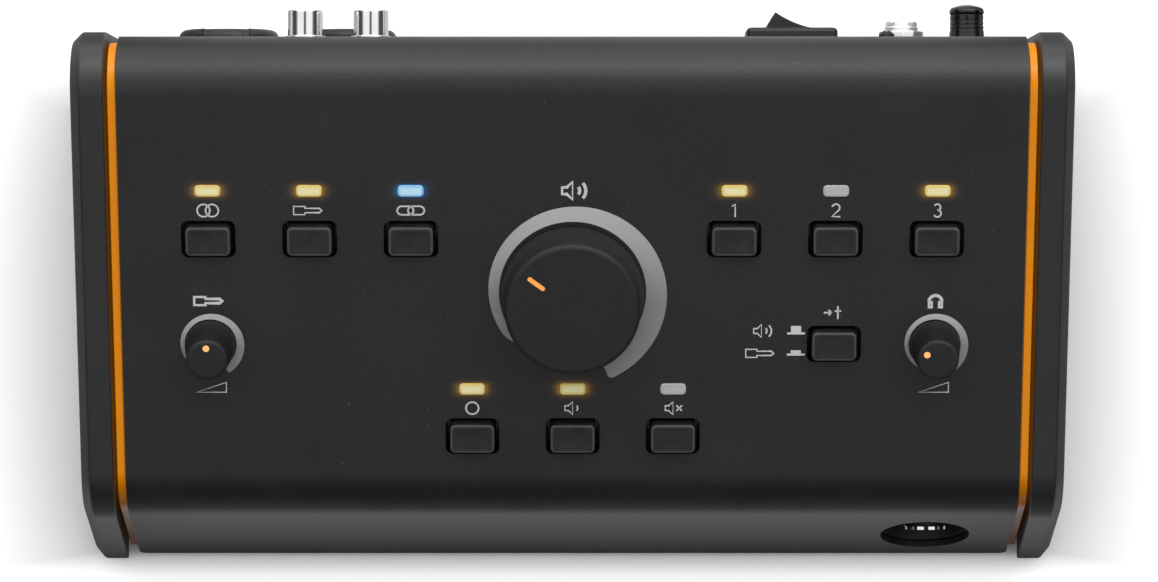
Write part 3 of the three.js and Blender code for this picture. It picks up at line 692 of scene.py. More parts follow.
def sideOutline(offset, bottom):  # (y, z) from the rear wall's lower edge, over the panel, to the front's
    normal = Vector((panelNormal.y, panelNormal.z))
    along = Vector((upSlope.y, upSlope.z))
    onFace = Vector((panelPoint.y, panelPoint.z)) / mm
    y = rearWall / mm - case["rearBend"]
    z = onFace.y - (case["rearBend"] + (y - onFace.x) * normal.x) / normal.y
    rearCentre = Vector((y, z))
    frontCentre = rearCentre + normal * (case["rearBend"] - case["frontBend"]) - along * case["panelLength"]
    top = 90 + math.degrees(panelTilt)
    steps = case["bendSteps"]
    rearArc = arc(*rearCentre, case["rearBend"] + offset, 0, top, steps)
    frontArc = arc(*frontCentre, case["frontBend"] + offset, top, 90 + case["frontTilt"], steps)
    lipY, lipZ = frontArc[-1]
    toeY = lipY - (lipZ - bottom) / math.tan(math.radians(case["frontTilt"]))
    return [(rearWall / mm + offset, bottom), *rearArc, *frontArc, (toeY, bottom)]


frontTilt = math.radians(case["frontTilt"])
holes = {
    "button": (12.7, 8.9, 1.7),     # width, height and corner
    "lampGap": 0.1,
    "neckGap": 0.3,
    "necks": {"main_pot": 4.5, "aux_pot": 4.2, "phones_pot": 4.2},
    "sockets": {
        "combo_jack": 11.2, "output_jack": 5.3, "phono_jack": 4.15, "dc_jack": 4.2, "cable_post": 1.9,
    },
    "switchBody": (18.8, 12.6),
    "phones": 10.7,
    "phonesUp": 16,        # up the slope of the front, from the lower edge
    "toeCorner": 1.8,
    "overrun": 1,
}
toe = Vector((0, *sideOutline(0, lowerEdge / mm)[-1])) * mm
upFront = Vector((0, math.cos(frontTilt), math.sin(frontTilt)))
frontOut = right.cross(upFront)
phonesHole = Vector((middleOf("phones_jack").x, 0, 0)) + toe + upFront * holes["phonesUp"] * mm
onPhones = standOn(phonesHole, right, up, -rear)     # level, with Z to the front
buttonNames = [n[:-7] for n in frame["nodes"] if n.endswith("_button")]
lampNames = [n[:-5] for n in frame["nodes"] if n.endswith("_lamp")]


def holeTools():
    past = holes["overrun"]
    gap = holes["neckGap"]
    tools = []

    def add(outline, place):
        tool = slab("tool", outline, -case["sheet"] - past, past)
        tools.append(shift(tool, Matrix.Scale(1 / mm, 4) @ place))

    for name in buttonNames:
        add(roundedBox(*holes["button"]), onPanel(middleOf(name + "_button")))
    width, height = [side + 2 * holes["lampGap"] for side in lamps["size"]]
    for name in lampNames:
        add(roundedBox(width, height, lamps["corner"] + holes["lampGap"]), onPanel(middleOf(name + "_lamp")))
    for node, radius in holes["necks"].items():
        add(circle(radius + gap), dialFrame(node[:-4]))
    for start, radius in holes["sockets"].items():
        for node in [n for n in frame["nodes"] if n.startswith(start)]:
            add(circle(radius + gap), onRear(middleOf(node)))
    width, height = [side + 2 * gap for side in holes["switchBody"]]
    add(roundedBox(width, height, gap), onRear(middleOf("power_switch_frame")))
    add(circle(holes["phones"], fine), standOn(phonesHole, right, upFront, frontOut))
    radius = holes["toeCorner"]
    corner = [(-past, -past), (radius, -past), *arc(radius, radius, radius, 270, 180, 6), (-past, radius)]
    low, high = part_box("top_shell")
    for x, outline in ((low.x, corner), (high.x, [(-x, y) for x, y in reversed(corner)])):
        add(outline, standOn(Vector((x, toe.y, toe.z)), right, upFront, frontOut))
    return tools


def makeCover():
    outline = sideOutline(0, lowerEdge / mm)
    inner = sideOutline(-case["sheet"], lowerEdge / mm)
    ring = [*outline, *reversed(inner)]
    low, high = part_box("top_shell")
    cover = loft("cover", [[(x / mm, y, z) for y, z in ring] for x in (low.x, high.x)])
    carve(cover, holeTools())
    roundEdges(cover, case["sheetEdge"])
    dress(cover, "cover_coat", stands=["top_shell"])


def sidePlate(name, levels):  # the side outline at each x, drawn out by its offset
    rings = [[(x, y, z) for y, z in sideOutline(offset, lowerEdge / mm - offset)] for x, offset in levels]
    return loft(name, rings)


def makeSide(side, sign):
    node = "side_inlay_" + side
    near, far = sorted([corner.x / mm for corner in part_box(node)], key=abs)
    levels = [(near, -case["inlayRecess"]), (far - sign * case["inlayGap"], -case["inlayRecess"])]
    inlay = sidePlate("inlay_" + side, levels)
    dress(roundEdges(inlay, case["plateEdge"]), "inlay_gloss", stands=[node])
    node = "side_cheek_" + side
    near, far = sorted([corner.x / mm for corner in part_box(node)], key=abs)
    proud, chamfer = case["cheekProud"], case["cheekChamfer"]
    levels = [(near, proud), (far - sign * chamfer, proud), (far, proud - chamfer)]
    cheek = sidePlate("cheek_" + side, levels)
    dress(roundEdges(cheek, case["cheekEdge"], segments=3, angle=25), "cheek_coat", stands=[node])


makeCover()
makeSide("left", -1)
makeSide("right", 1)
print("case: cover, inlays and cheeks")


# Buttons and lamps

def makeButton(name):
    sizes = [button[key] for key in ("width", "height", "corner")]
    cap = stack(name + "_cap", button["levels"], *sizes, 6, button["cornerShare"], button["leastCorner"])
    node = name + "_button"
    body = next(b for b, members in frame["record"]["behaviour"]["bodies"].items() if node in members)
    dress(cap, "cap_plastic", onPanel(middleOf(node)), [node], body, sharp=50)


def makeLamp(name):
    cover = stack(name + "_lens", lamps["levels"], *lamps["size"], lamps["corner"])
    node = name + "_lamp"
    colour = "warm" if name in lamps["lit"] else "blue" if name in lamps["blue"] else "grey"
    dress(cover, "lens_" + colour, onPanel(middleOf(node)), [node], sharp=50)


for buttonName in buttonNames:
    makeButton(buttonName)
for lampName in lampNames:
    makeLamp(lampName)
print("panel: buttons and lamps")


# Dials

bigKnob = {
    "base": 16.7, "top": 15.7, "height": 12.4, "edge": 1.3, "cavity": 8.5, "cavityDepth": 5, "steps": 128,
}
smallKnob = {
    "base": 6.0, "top": 4.8, "height": 12, "edge": 0.9, "cavity": 3.6, "cavityDepth": 2, "steps": 80,
}
dials = {
    "main": {**bigKnob, "rest": 53},    # with the degrees that it is turned back from the top
    "aux": {**smallKnob, "rest": 4},
    "phones": {**smallKnob, "rest": 63},
    "gap": 0.6,
    "foot": 0.35,          # rounding where the side meets the underside
    "mouth": 0.2,          # rounding of the cavity's mouth
    "easeSteps": 7,
    "pointer": {"from": 8.1, "to": 12.9, "width": 1.05, "depth": 0.55},
    "dot": {"from": 2.85, "radius": 0.78, "depth": 0.45},
    "markGap": 0.08,
    "markLift": 0.05,      # from the pocket's floor
    "markDrop": 0.01,      # under the knob's face
    "markEdge": 0.1,
}


def knobProfile(knob):
    low = dials["gap"]
    top = low + knob["height"]
    return [
        (0, low + knob["cavityDepth"]),
        (knob["cavity"], low + knob["cavityDepth"]),
        (knob["cavity"], low, dials["mouth"]),
        (knob["base"], low, dials["foot"]),
        (knob["top"], top, knob["edge"]),
        (0, top),
    ]


def pointerShape(name, gap):
    if name == "main":
        bar = dials["pointer"]
        length = bar["to"] - bar["from"] + 2 * gap
        width = bar["width"] + 2 * gap
        middle = (bar["to"] + bar["from"]) / 2
        return [(x, y + middle) for x, y in roundedBox(width, length, width / 2, 10)]
    dot = dials["dot"]
    return [(x, y + dot["from"]) for x, y in circle(dot["radius"] + gap, 40)]


def makeDial(name):
    knob = dials[name]
    isMain = name == "main"
    mark = dials["pointer" if isMain else "dot"]
    body = name + "_dial"
    top = dials["gap"] + knob["height"]
    floor = top - mark["depth"]
    turned = dialFrame(name) @ Matrix.Rotation(math.radians(knob["rest"]), 4, "Z")
    grip = lathe(body + "_knob", knobProfile(knob), knob["steps"], dials["easeSteps"])
    carve(grip, [slab("pocket", pointerShape(name, dials["markGap"]), floor, top + 1)])
    dress(grip, "knob_plastic", turned, [name + "_knob"], body, sharp=40)
    bar = slab(body + "_mark", pointerShape(name, 0), floor + dials["markLift"], top - dials["markDrop"])
    finish = "pointer_orange" if isMain else "pointer_amber"
    dress(roundEdges(bar, dials["markEdge"]), finish, turned, [name + "_pointer"], body, sharp=50)


dialNames = ("main", "aux", "phones")
for dialName in dialNames:
    makeDial(dialName)
print("panel: dials")


# Geometry Nodes: one group for each thing that repeats or follows a path

socketKinds = {float: "NodeSocketFloat", int: "NodeSocketInt", type(None): "NodeSocketMaterial"}


def newGroup(name, inputs):  # a group with named inputs, and its graph and wires
    tree = bpy.data.node_groups.new(name, "GeometryNodeTree")
    tree.interface.new_socket("Geometry", in_out="INPUT", socket_type="NodeSocketGeometry")
    tree.interface.new_socket("Geometry", in_out="OUTPUT", socket_type="NodeSocketGeometry")
    for label, value in inputs.items():
        made = tree.interface.new_socket(label, in_out="INPUT", socket_type=socketKinds[type(value)])
        if value is not None:
            made.default_value = value
    graph = Graph(tree)
    entry = tree.nodes.new("NodeGroupInput")
    return graph, {label: Wire(graph, entry.outputs[label]) for label in ["Geometry", *inputs]}


def closeGroup(graph, geometry, material):  # instances become mesh, and the mesh gets its finish
    real = graph.node("GeometryNodeRealizeInstances", {}, {0: geometry})
    done = graph.node("GeometryNodeSetMaterial", {}, {"Geometry": real, "Material": material})
    graph.feed(graph.tree.nodes.new("NodeGroupOutput").inputs[0], done)
    return graph.tree


def grow(name, tree, values, points=(), edges=(), shape=None):  # what a group makes, as a plain mesh
    thing = shape
    if shape is None:
        seed = bpy.data.meshes.new(name + "Seed")
        seed.from_pydata(list(points), list(edges), [])
        thing = newObject(name, seed)
    thing.name = name
    modifier = thing.modifiers.new("grow", "NODES")
    modifier.node_group = tree
    for item in tree.interface.items_tree:
        if item.in_out == "INPUT" and item.name in values:
            modifier[item.identifier] = values[item.name]
    settle(thing)
    mend(thing.data)
    return thing


def crescentGroup():  # a printed scale that widens clockwise, with its angles from twelve o'clock
    graph, port = newGroup("crescent", {
        "Inner radius": 17.0, "Start width": 1.5, "End width": 6.0, "Least width": 0.05,
        "Left degrees": 150.0, "Right degrees": 150.0, "Start taper": 0.5, "End rounding": 0.5,
        "Thickness": 0.03, "Steps": 160, "Rows": 7, "Material": None,
    })
    sockets = {"Size X": 1.0, "Size Y": 1.0, "Vertices X": port["Steps"], "Vertices Y": port["Rows"]}
    grid = graph.node("GeometryNodeMeshGrid", {}, sockets)
    x, y, _ = graph.parts(graph.node("GeometryNodeInputPosition"))
    t = x + 0.5
    s = y + 0.5
    left = port["Left degrees"] * (math.pi / 180)
    sweep = left + port["Right degrees"] * (math.pi / 180)
    run = sweep * port["Inner radius"]
    point = 1 - graph.math("MINIMUM", t * run / port["Start taper"], 1.0)
    width = port["Start width"] + (port["End width"] - port["Start width"]) * t
    width = graph.math("MAXIMUM", width * graph.math("SQRT", 1 - point * point), port["Least width"])
    corner = 1 - graph.math("MINIMUM", (1 - t) * run / port["End rounding"], 1.0)
    edge = port["End rounding"] * (1 - graph.math("SQRT", 1 - corner * corner))
    radius = port["Inner radius"] + edge + (width - 2 * edge) * s
    spot = graph.polar(radius, math.pi / 2 + left - sweep * t)
    flat = graph.node("GeometryNodeSetPosition", {}, {"Geometry": grid, "Position": spot})
    sockets = {"Mesh": flat, "Offset": graph.vector(z=port["Thickness"]), "Individual": False}
    raised = graph.node("GeometryNodeExtrudeMesh", {"mode": "FACES"}, sockets)
    both = graph.node("GeometryNodeJoinGeometry", {}, {0: [raised, flat]})
    merged = graph.node("GeometryNodeMergeByDistance", {}, {"Geometry": both, "Distance": 0.001})
    return closeGroup(graph, merged, port["Material"])


def strokeGroup():  # a flat printed line along edges
    graph, port = newGroup("stroke", {"Line width": 0.4, "Thickness": 0.03, "Material": None})
    path = graph.node("GeometryNodeMeshToCurve", {}, {"Mesh": port["Geometry"]})
    path = graph.node("GeometryNodeSetCurveNormal", {"mode": "Z_UP"}, {"Curve": path})
    sockets = {"Width": port["Line width"], "Height": port["Thickness"]}
    bar = graph.node("GeometryNodeCurvePrimitiveQuadrilateral", {"mode": "RECTANGLE"}, sockets)
    sockets = {"Curve": path, "Profile Curve": bar, "Fill Caps": True}
    return closeGroup(graph, graph.node("GeometryNodeCurveToMesh", {}, sockets), port["Material"])


def screwGroup():  # a domed screw head with a cross recess on each point
    graph, port = newGroup("screw", {
        "Head radius": 2.0, "Head height": 1.2, "Dome share": 0.55,
        "Recess width": 0.6, "Recess length": 2.4, "Recess depth": 0.6, "Material": None,
    })
    sockets = {"Vertices": 40, "Side Segments": 1, "Fill Segments": 8, "Depth": 1.0}
    sockets["Radius"] = port["Head radius"]
    disc = graph.node("GeometryNodeMeshCylinder", {"fill_type": "TRIANGLE_FAN"}, sockets)
    x, y, z = graph.parts(graph.node("GeometryNodeInputPosition"))
    share = graph.math("SQRT", x * x + y * y) / port["Head radius"]
    dome = port["Head height"] * (1 - port["Dome share"] * share * share)
    spot = graph.vector(x, y, dome * graph.math("GREATER_THAN", z, 0.0))
    head = graph.node("GeometryNodeSetPosition", {}, {"Geometry": disc, "Position": spot})
    long, wide, deep = port["Recess length"], port["Recess width"], port["Recess depth"] * 2
    raised = graph.vector(z=port["Head height"])
    blades = []
    for size in ((long, wide, deep), (wide, long, deep)):
        blade = graph.node("GeometryNodeMeshCube", {}, {"Size": graph.vector(*size)})
        blades.append(graph.node("GeometryNodeTransform", {}, {"Geometry": blade, "Translation": raised}))
    sockets = {"Mesh 1": head, "Mesh 2": blades}
    cut = graph.node("GeometryNodeMeshBoolean", {"operation": "DIFFERENCE"}, sockets)
    sockets = {"Points": port["Geometry"], "Instance": cut}
    return closeGroup(graph, graph.node("GeometryNodeInstanceOnPoints", {}, sockets), port["Material"])


def ringGroup():  # copies of a shape round a circle, each turned to face outwards
    inputs = {"Count": 3, "Circle radius": 5.0, "First degrees": 90.0, "Material": None}
    graph, port = newGroup("ring", inputs)
    index = graph.node("GeometryNodeInputIndex")
    angle = (port["First degrees"] + index * 360 / port["Count"]) * (math.pi / 180)
    sockets = {"Count": port["Count"], "Position": graph.polar(port["Circle radius"], angle)}
    points = graph.node("GeometryNodePoints", {}, sockets)
    sockets = {"Points": points, "Instance": port["Geometry"], "Rotation": graph.vector(z=angle)}
    return closeGroup(graph, graph.node("GeometryNodeInstanceOnPoints", {}, sockets), port["Material"])


groups = {"crescent": crescentGroup(), "stroke": strokeGroup(), "screw": screwGroup(), "ring": ringGroup()}
print("groups:", ", ".join(groups))


# Prints on the panel

prints = {
    "thickness": 0.03,
    "mainScale": {
        "Inner radius": 17.2, "Start width": 1.85, "End width": 5.75,
        "Left degrees": 134.0, "Right degrees": 158.0, "Start taper": 4.2, "End rounding": 0.7,
    },
    "smallScale": {
        "Inner radius": 6.12, "Start width": 0.65, "End width": 2.05,
        "Left degrees": 150.0, "Right degrees": 150.0, "Start taper": 0.3, "End rounding": 0.32,
    },
    "scaleRise": {"main": 0.4, "aux": 0.0, "phones": 0.0},
    "signHeight": 3.3,
    "titleHeight": {"main": 4.4, "aux": 3.3, "phones": 3.3},
    "captionHeight": 2.9,
    "thin": 0.38,
    "bold": 0.75,
    "upperRow": 6.95,      # a sign's middle above its button's
    "prefadeRow": 7.7,
    "titleAbove": {"main": 25.1, "aux": 10.6, "phones": 10.6},
    "titleBelow": -10.6,
}


def makeScale(name, sizes):
    values = {**sizes, "Thickness": prints["thickness"], "Material": finishes["scale_print"]}
    scale = grow(name + "_scale", groups["crescent"], values)
    place = dialFrame(name) @ Matrix.Translation((0, prints["scaleRise"][name], 0))
    dress(scale, "scale_print", place, slot="panel_print")


for dialName in dialNames:
    makeScale(dialName, prints["mainScale" if dialName == "main" else "smallScale"])


# Signs as lines in a box one unit high, about its middle

def closed(line):
    return [*line, line[0]]


def ringSign(x):
    return arc(x, 0, 0.45, 0, 360, 36)


def cupPad(sign):
    return closed([(sign * 0.46, -0.08), (sign * 0.46, -0.46), (sign * 0.26, -0.46), (sign * 0.26, -0.08)])


speaker = closed([(-0.55, -0.18), (-0.3, -0.18), (0, -0.48), (0, 0.48), (-0.3, 0.18), (-0.55, 0.18)])
plugHalf = [(-1.1, -0.3), (-0.3, -0.3), (-0.3, -0.16), (0.7, -0.16), (0.9, 0)]
plug = closed([*plugHalf, *[(x, -y) for x, y in reversed(plugHalf[:-1])]])
link = closed(roundedBox(1.15, 0.62, 0.31, 6))
signs = {
    "stereo": [ringSign(-0.3), ringSign(0.3)],
    "mono": [ringSign(0)],
    "aux": [plug],
    "pair": [[(x + aside, y) for x, y in link] for aside in (-0.38, 0.38)],
    "output_1": [[(-0.16, 0.3), (0.06, 0.46), (0.06, -0.47)]],
    "output_2": [[*arc(0, 0.2, 0.27, 165, -35, 14), (-0.29, -0.45), (0.32, -0.45)]],
    "output_3": [arc(-0.01, 0.24, 0.23, 150, -90, 14), arc(0, -0.21, 0.26, 90, -150, 16)],
    "prefade": [
        [(0.25, -0.48), (0.25, 0.48)],
        [(0.02, 0.12), (0.48, 0.12)],
        [(-0.75, 0), (-0.2, 0)],
        [(-0.4, 0.2), (-0.2, 0), (-0.4, -0.2)],
    ],
    "dim": [speaker, arc(0.08, 0, 0.28, -42, 42, 8)],
    "mute": [speaker, [(0.24, -0.2), (0.64, 0.2)], [(0.24, 0.2), (0.64, -0.2)]],
    "main": [speaker, arc(0.08, 0, 0.3, -42, 42, 8), arc(0.08, 0, 0.62, -42, 42, 12)],
    "phones": [arc(0, -0.05, 0.46, 0, 180, 20), cupPad(-1), cupPad(1)],
    "level": [closed([(-1.2, -0.42), (1.2, -0.42), (1.2, 0.42)])],
}


def makeSign(name, sign, place, bold=False, height=prints["signHeight"]):
    points = []
    edges = []
    for line in signs[sign]:
        isClosed = math.dist(line[0], line[-1]) < 0.02
        start = len(points)
        ends = line[:-1] if isClosed else line
        points += [(x * height, y * height, prints["thickness"] / 2) for x, y in ends]
        edges += [(i, i + 1) for i in range(start, len(points) - 1)]
        if isClosed:
            edges.append((len(points) - 1, start))
    width = prints["bold" if bold else "thin"]
    values = {"Line width": width, "Thickness": prints["thickness"], "Material": finishes["panel_print"]}
    dress(grow(name, groups["stroke"], values, points, edges), "panel_print", place)


def above(place, distance, across=0.0):
    return place @ Matrix.Translation((across, distance, 0))


for buttonName in buttonNames:
    row = prints["prefadeRow" if buttonName == "prefade" else "upperRow"]
    makeSign(buttonName + "_sign", buttonName, above(onPanel(middleOf(buttonName + "_button")), row))
for dialName in dialNames:
    spot = above(dialFrame(dialName), prints["titleAbove"][dialName])
    makeSign(dialName + "_title", dialName, spot, True, prints["titleHeight"][dialName])
for dialName in ("aux", "phones"):
    spot = above(dialFrame(dialName), prints["titleBelow"])
    makeSign(dialName + "_caption", "level", spot, height=prints["captionHeight"])

keyMarks = {
    "across": 8.9,
    "base": 4.2,
    "cap": 2.4,
    "line": 0.5,
    "overlap": 0.01,
    "corner": 0.05,
    "signAcross": 17,
    # how far up the panel, height of the cap, and the sign beside it with its own rise
    "raised": (2.6, 1.6, "main", 0.6),
    "pressed": (-2.6, 0.8, "aux", 0.3),
}


def makeKeyMarks():  # a raised and a pressed key, beside the prefade button
    place = onPanel(middleOf("prefade_button"))
    for name in ("raised", "pressed"):
        rise, height, *_ = keyMarks[name]
        sizes = ((keyMarks["base"], keyMarks["line"]), (keyMarks["cap"], height))
        outlines = [roundedBox(*size, keyMarks["corner"], 2) for size in sizes]
        base, cap = [slab("key", outline, 0, prints["thickness"]) for outline in outlines]
        shift(cap, Matrix.Translation((0, (height + keyMarks["line"]) / 2 - keyMarks["overlap"], 0)))
        dress(fuse(name + "_mark", [base, cap]), "panel_print", above(place, rise, -keyMarks["across"]))
    for name in ("raised", "pressed"):
        rise, _, sign, signRise = keyMarks[name]
        makeSign(name + "_sign", sign, above(place, rise + signRise, -keyMarks["signAcross"]))


makeKeyMarks()
print("panel: prints")


# Sockets and fittings of the rear wall

bore = {"radius": 3.3, "depth": 23, "chamfer": 0.35}
leaf = {"size": (0.5, 2.2), "corner": 0.1, "height": 1.1, "sunk": 0.1, "turn": 60.0}
# Heights over the wall's face: a flange's underside, a nose's root, and a socket body's front and back
fitting = {"seat": 0.3, "root": -3.7, "front": -2.7, "back": -28.7}


def boreTool(face):
    radius, chamfer = bore["radius"], bore["chamfer"]
    deep = face - bore["depth"]
    top = face + chamfer
    mouth = [(radius, face - chamfer), (radius + chamfer * 2, top)]
    return lathe("bore", [(0, deep), (radius, deep), *mouth, (0, top)])


def socketBody(width, corner, back=fitting["back"], front=fitting["front"]):
    return slab("body", roundedBox(width, width, corner, 4), back, front)


def leafContacts(name, place, depths):  # springs that touch a plug, seen deep in the bore
    radius = bore["radius"] - leaf["sunk"]
    ring = {"Count": 2, "Circle radius": radius, "Material": finishes["bright_nickel"]}
    rows = []
    for i, depth in enumerate(depths):
        spring = slab("leaf", roundedBox(*leaf["size"], leaf["corner"], 2), 0, leaf["height"])
        row = grow("row", groups["ring"], {**ring, "First degrees": leaf["turn"] * i}, shape=spring)
        rows.append(shift(row, Matrix.Translation((0, 0, depth))))
    dress(fuse(name, rows), "bright_nickel", place)


combo = {
    "collar": 12.0,
    "proud": 3.5,
    "rim": 2.0,            # rounding of the collar
    "neck": 11.2,
    "body": 23.4,
    "bodyCorner": 1.0,
    "core": 3.2,           # height of the middle, a little under the collar's
    "groove": (7.9, 9.9),
    "grooveDepth": 11,
    "lip": (0.05, 0.1),    # how far the collar ends outside the groove, and how far down
    "pins": 3,
    "pin": 1.35,
    "pinCircle": 5.4,
    "pinDepth": 9,
    "firstPin": 60.0,
    "latch": (11.1, 2.4),
    "latchCorner": 0.2,
    "leastCorner": 0.1,
    "slotCorner": 0.3,
    "latchGap": 0.2,
    "latchDepth": 3,
    "latchDrop": 0.12,     # under the collar's face
    "latchInside": 0.1,    # how far it stays inside the collar's outline
    # under the latch's top, and how far its outline has drawn in
    "latchLevels": [(0.3, 0), (0.08, 0.1), (0, 0.3)],
    "sleeve": [(0.75, -5), (1.15, -5), (1.15, 0.9), (1.0, 1.1), (0.75, 1.1), (0.75, -5)],   # a section
    "leaves": (-9.0, -14.0),
}


def makeCombo(node):
    place = onRear(middleOf(node))
    proud, collar, rim, core = [combo[key] for key in ("proud", "collar", "rim", "core")]
    seat, root = fitting["seat"], fitting["root"]
    low, high = combo["groove"]
    out, down = combo["lip"]
    front = lathe("front", [
        (0, root),
        (combo["neck"], root),
        (combo["neck"], seat),
        (collar, seat),
        *arc(collar - rim, proud - rim, rim, 0, 90, 10),
        (high + out, proud - down),
        (high + out, core),
        (0, core),
    ], fine)
    socket = carve(front, [socketBody(combo["body"], combo["bodyCorner"])], "UNION")
    groove = lathe("groove", tube(low, high, proud - combo["grooveDepth"], proud + 1), fine)
    wide, long = combo["latch"]
    room = 2 * combo["latchGap"]
    bottom = proud - combo["latchDepth"]
    slot = slab("slot", roundedBox(wide + room, long + room, combo["slotCorner"], 3), bottom, proud + 1)
    shift(slot, Matrix.Translation((0, high, 0)))
    ring = {"Count": combo["pins"], "Circle radius": combo["pinCircle"], "First degrees": combo["firstPin"]}
    pin = slab("pin", circle(combo["pin"], 28), core - combo["pinDepth"], proud + 1)
    pins = grow("pins", groups["ring"], {**ring, "Material": finishes["socket_black"]}, shape=pin)
    for tool in (groove, slot, boreTool(core), pins):
        carve(socket, [tool], name=node + "_socket")
    dress(socket, "socket_black", place, [node])
    sleeve = lathe("sleeve", combo["sleeve"], 24)
    ring["Material"] = finishes["bright_nickel"]
    dress(grow(node + "_contacts", groups["ring"], ring, shape=sleeve), "bright_nickel", place)
    top = proud - combo["latchDrop"]
    levels = [(bottom, 0), *[(top - drop, inset) for drop, inset in combo["latchLevels"]]]
    tab = stack("tab", levels, wide, long, combo["latchCorner"], least=combo["leastCorner"])
    shift(tab, Matrix.Translation((0, high, 0)))
    inside = collar - combo["latchInside"]
    shape = [(0, seat), (inside, seat), *arc(inside - rim, top - rim, rim, 0, 90, 10), (0, top)]
    dress(carve(tab, [lathe("outside", shape, fine)], "INTERSECT", node + "_latch"), "socket_black", place)
    leafContacts(node + "_leaves", place, combo["leaves"])


output = {
    "neck": 5.3,
    "body": 14.2,
    "bodyCorner": 0.8,
    "rim": 0.9,
    "dish": 0.6,
    "slope": 0.3,          # of the dish's side
    "edges": (0.3, 0.12),
    "leaves": (-7.0, -12.0),
}


def makeOutput(node):
    place = onRear(middleOf(node))
    neck, dish = output["neck"], output["dish"]
    inner = neck - output["rim"]
    outerEdge, innerEdge = output["edges"]
    root = fitting["root"]
    front = lathe("front", [
        (0, root),
        (neck, root),
        (neck, 0, outerEdge),
        (inner, 0, innerEdge),
        (inner - output["slope"], -dish, innerEdge),
        (0, -dish),
    ])
    socket = carve(front, [socketBody(output["body"], output["bodyCorner"])], "UNION")
    dress(carve(socket, [boreTool(-dish)], name=node + "_socket"), "socket_black", place, [node])
    leafContacts(node + "_leaves", place, output["leaves"])


phono = {
    "barrel": 4.15,
    "proud": 7.0,
    "base": 4.9,
    "baseProud": 0.9,
    "mouth": 3.3,
    "mouthDepth": 0.9,
    "pin": 1.65,
    "pinWall": 0.5,
    "pinSetback": 0.6,     # from the insulator's face
    "gap": 0.03,
    "pinDepth": 8,
    "body": 10.4,
    "bodyCorner": 0.6,
    "edges": (0.1, 0.25, 0.12, 0.45, 0.2),      # of the shell, from its base to its mouth
    "insulatorEdges": (0.15, 0.2),              # outer and inner
    "contactEdges": (0.1, 0.2),
}


def makePhono(node, insulator):
    place = onRear(middleOf(node))
    barrel, base, tip = phono["barrel"], phono["base"], phono["proud"]
    mouth, pin, gap = phono["mouth"], phono["pin"], phono["gap"]
    deep = tip - phono["pinDepth"]
    face = tip - phono["mouthDepth"]
    seat, root = fitting["seat"], fitting["root"]
    edges = phono["edges"]
    shell = lathe("shell", [
        (0, root),
        (barrel, root),
        (barrel, seat),
        (base, seat, edges[0]),
        (base, phono["baseProud"], edges[1]),
        (barrel, phono["baseProud"], edges[2]),
        (barrel, tip, edges[3]),
        (mouth, tip, edges[4]),
        (mouth, deep),
        (0, deep),
    ], fine)
    carve(shell, [socketBody(phono["body"], phono["bodyCorner"])], "UNION", node + "_shell")
    dress(shell, "bright_nickel", place, [node])
    filling = tube(pin, mouth - gap, deep, face, *phono["insulatorEdges"])
    dress(lathe(node + "_insulator", filling), insulator, place)
    face -= phono["pinSetback"]
    sleeve = tube(pin - phono["pinWall"], pin - gap, deep, face, *phono["contactEdges"])
    dress(lathe(node + "_contact", sleeve, 40), "bright_nickel", place)


rocker = {
    "halfTop": 6.1,
    "halfWaist": 7.2,
    "crest": 5.35,
    "dip": 0.8,
    "dipSteps": 40,
    "halfHeel": 4.6,
    "heel": 3,
    "tilt": 20,
    "thickness": 9.0,
    "edge": 0.35,
}
switch = {
    "width": 21.7,
    "height": 15,
    "corner": 1.4,
    "bezel": 3.3,
    "bezelEdge": 1.0,
    "body": (18.8, 12.6, 0.4),      # width, height and corner
    "bodyBack": -16,
    "well": (15.6, 9.8, 0.5),
    "wellDepth": 7.2,
    "edge": 0.18,
}


def makeSwitch():
    pivot = standOn(Vector(joints["power_rock"]["pos_m"]), -right, up, rear)
    width, height, corner, bezel = [switch[key] for key in ("width", "height", "corner", "bezel")]
    edge = switch["bezelEdge"]
    bend = [(bezel - edge + y, edge - x) for x, y in arc(0, 0, edge, 0, 90, 6)]
    plate = stack("plate", [(fitting["seat"], 0), *bend], width, height, corner, 8)
    body = slab("body", roundedBox(*switch["body"], 3), switch["bodyBack"], bezel - edge)
    well = slab("well", roundedBox(*switch["well"], 4), -switch["wellDepth"], bezel + 1)
    housing = carve(carve(plate, [body], "UNION"), [well], name="switch_housing")
    roundEdges(housing, switch["edge"], angle=50)
    dress(housing, "socket_black", pivot, ["power_switch_frame"])
    top, crest, dip, steps = [rocker[key] for key in ("halfTop", "crest", "dip", "dipSteps")]
    run = [i / steps for i in range(steps + 1)]
    valley = [(top * (1 - 2 * t), crest - dip * 4 * t * (1 - t)) for t in run]
    heel = (rocker["halfHeel"], -rocker["heel"])
    outline = [(-heel[0], heel[1]), heel, (rocker["halfWaist"], 0), *valley, (-rocker["halfWaist"], 0)]
    half = rocker["thickness"] / 2
    key = loft("rocker_key", [[(x, y, z) for x, z in outline] for y in (-half, half)])
    roundEdges(key, rocker["edge"], segments=3, angle=30)
    tilted = pivot @ Matrix.Rotation(-math.radians(rocker["tilt"]), 4, "Y")
    dress(key, "socket_black", tilted, ["power_rocker"], "rocker", sharp=50)


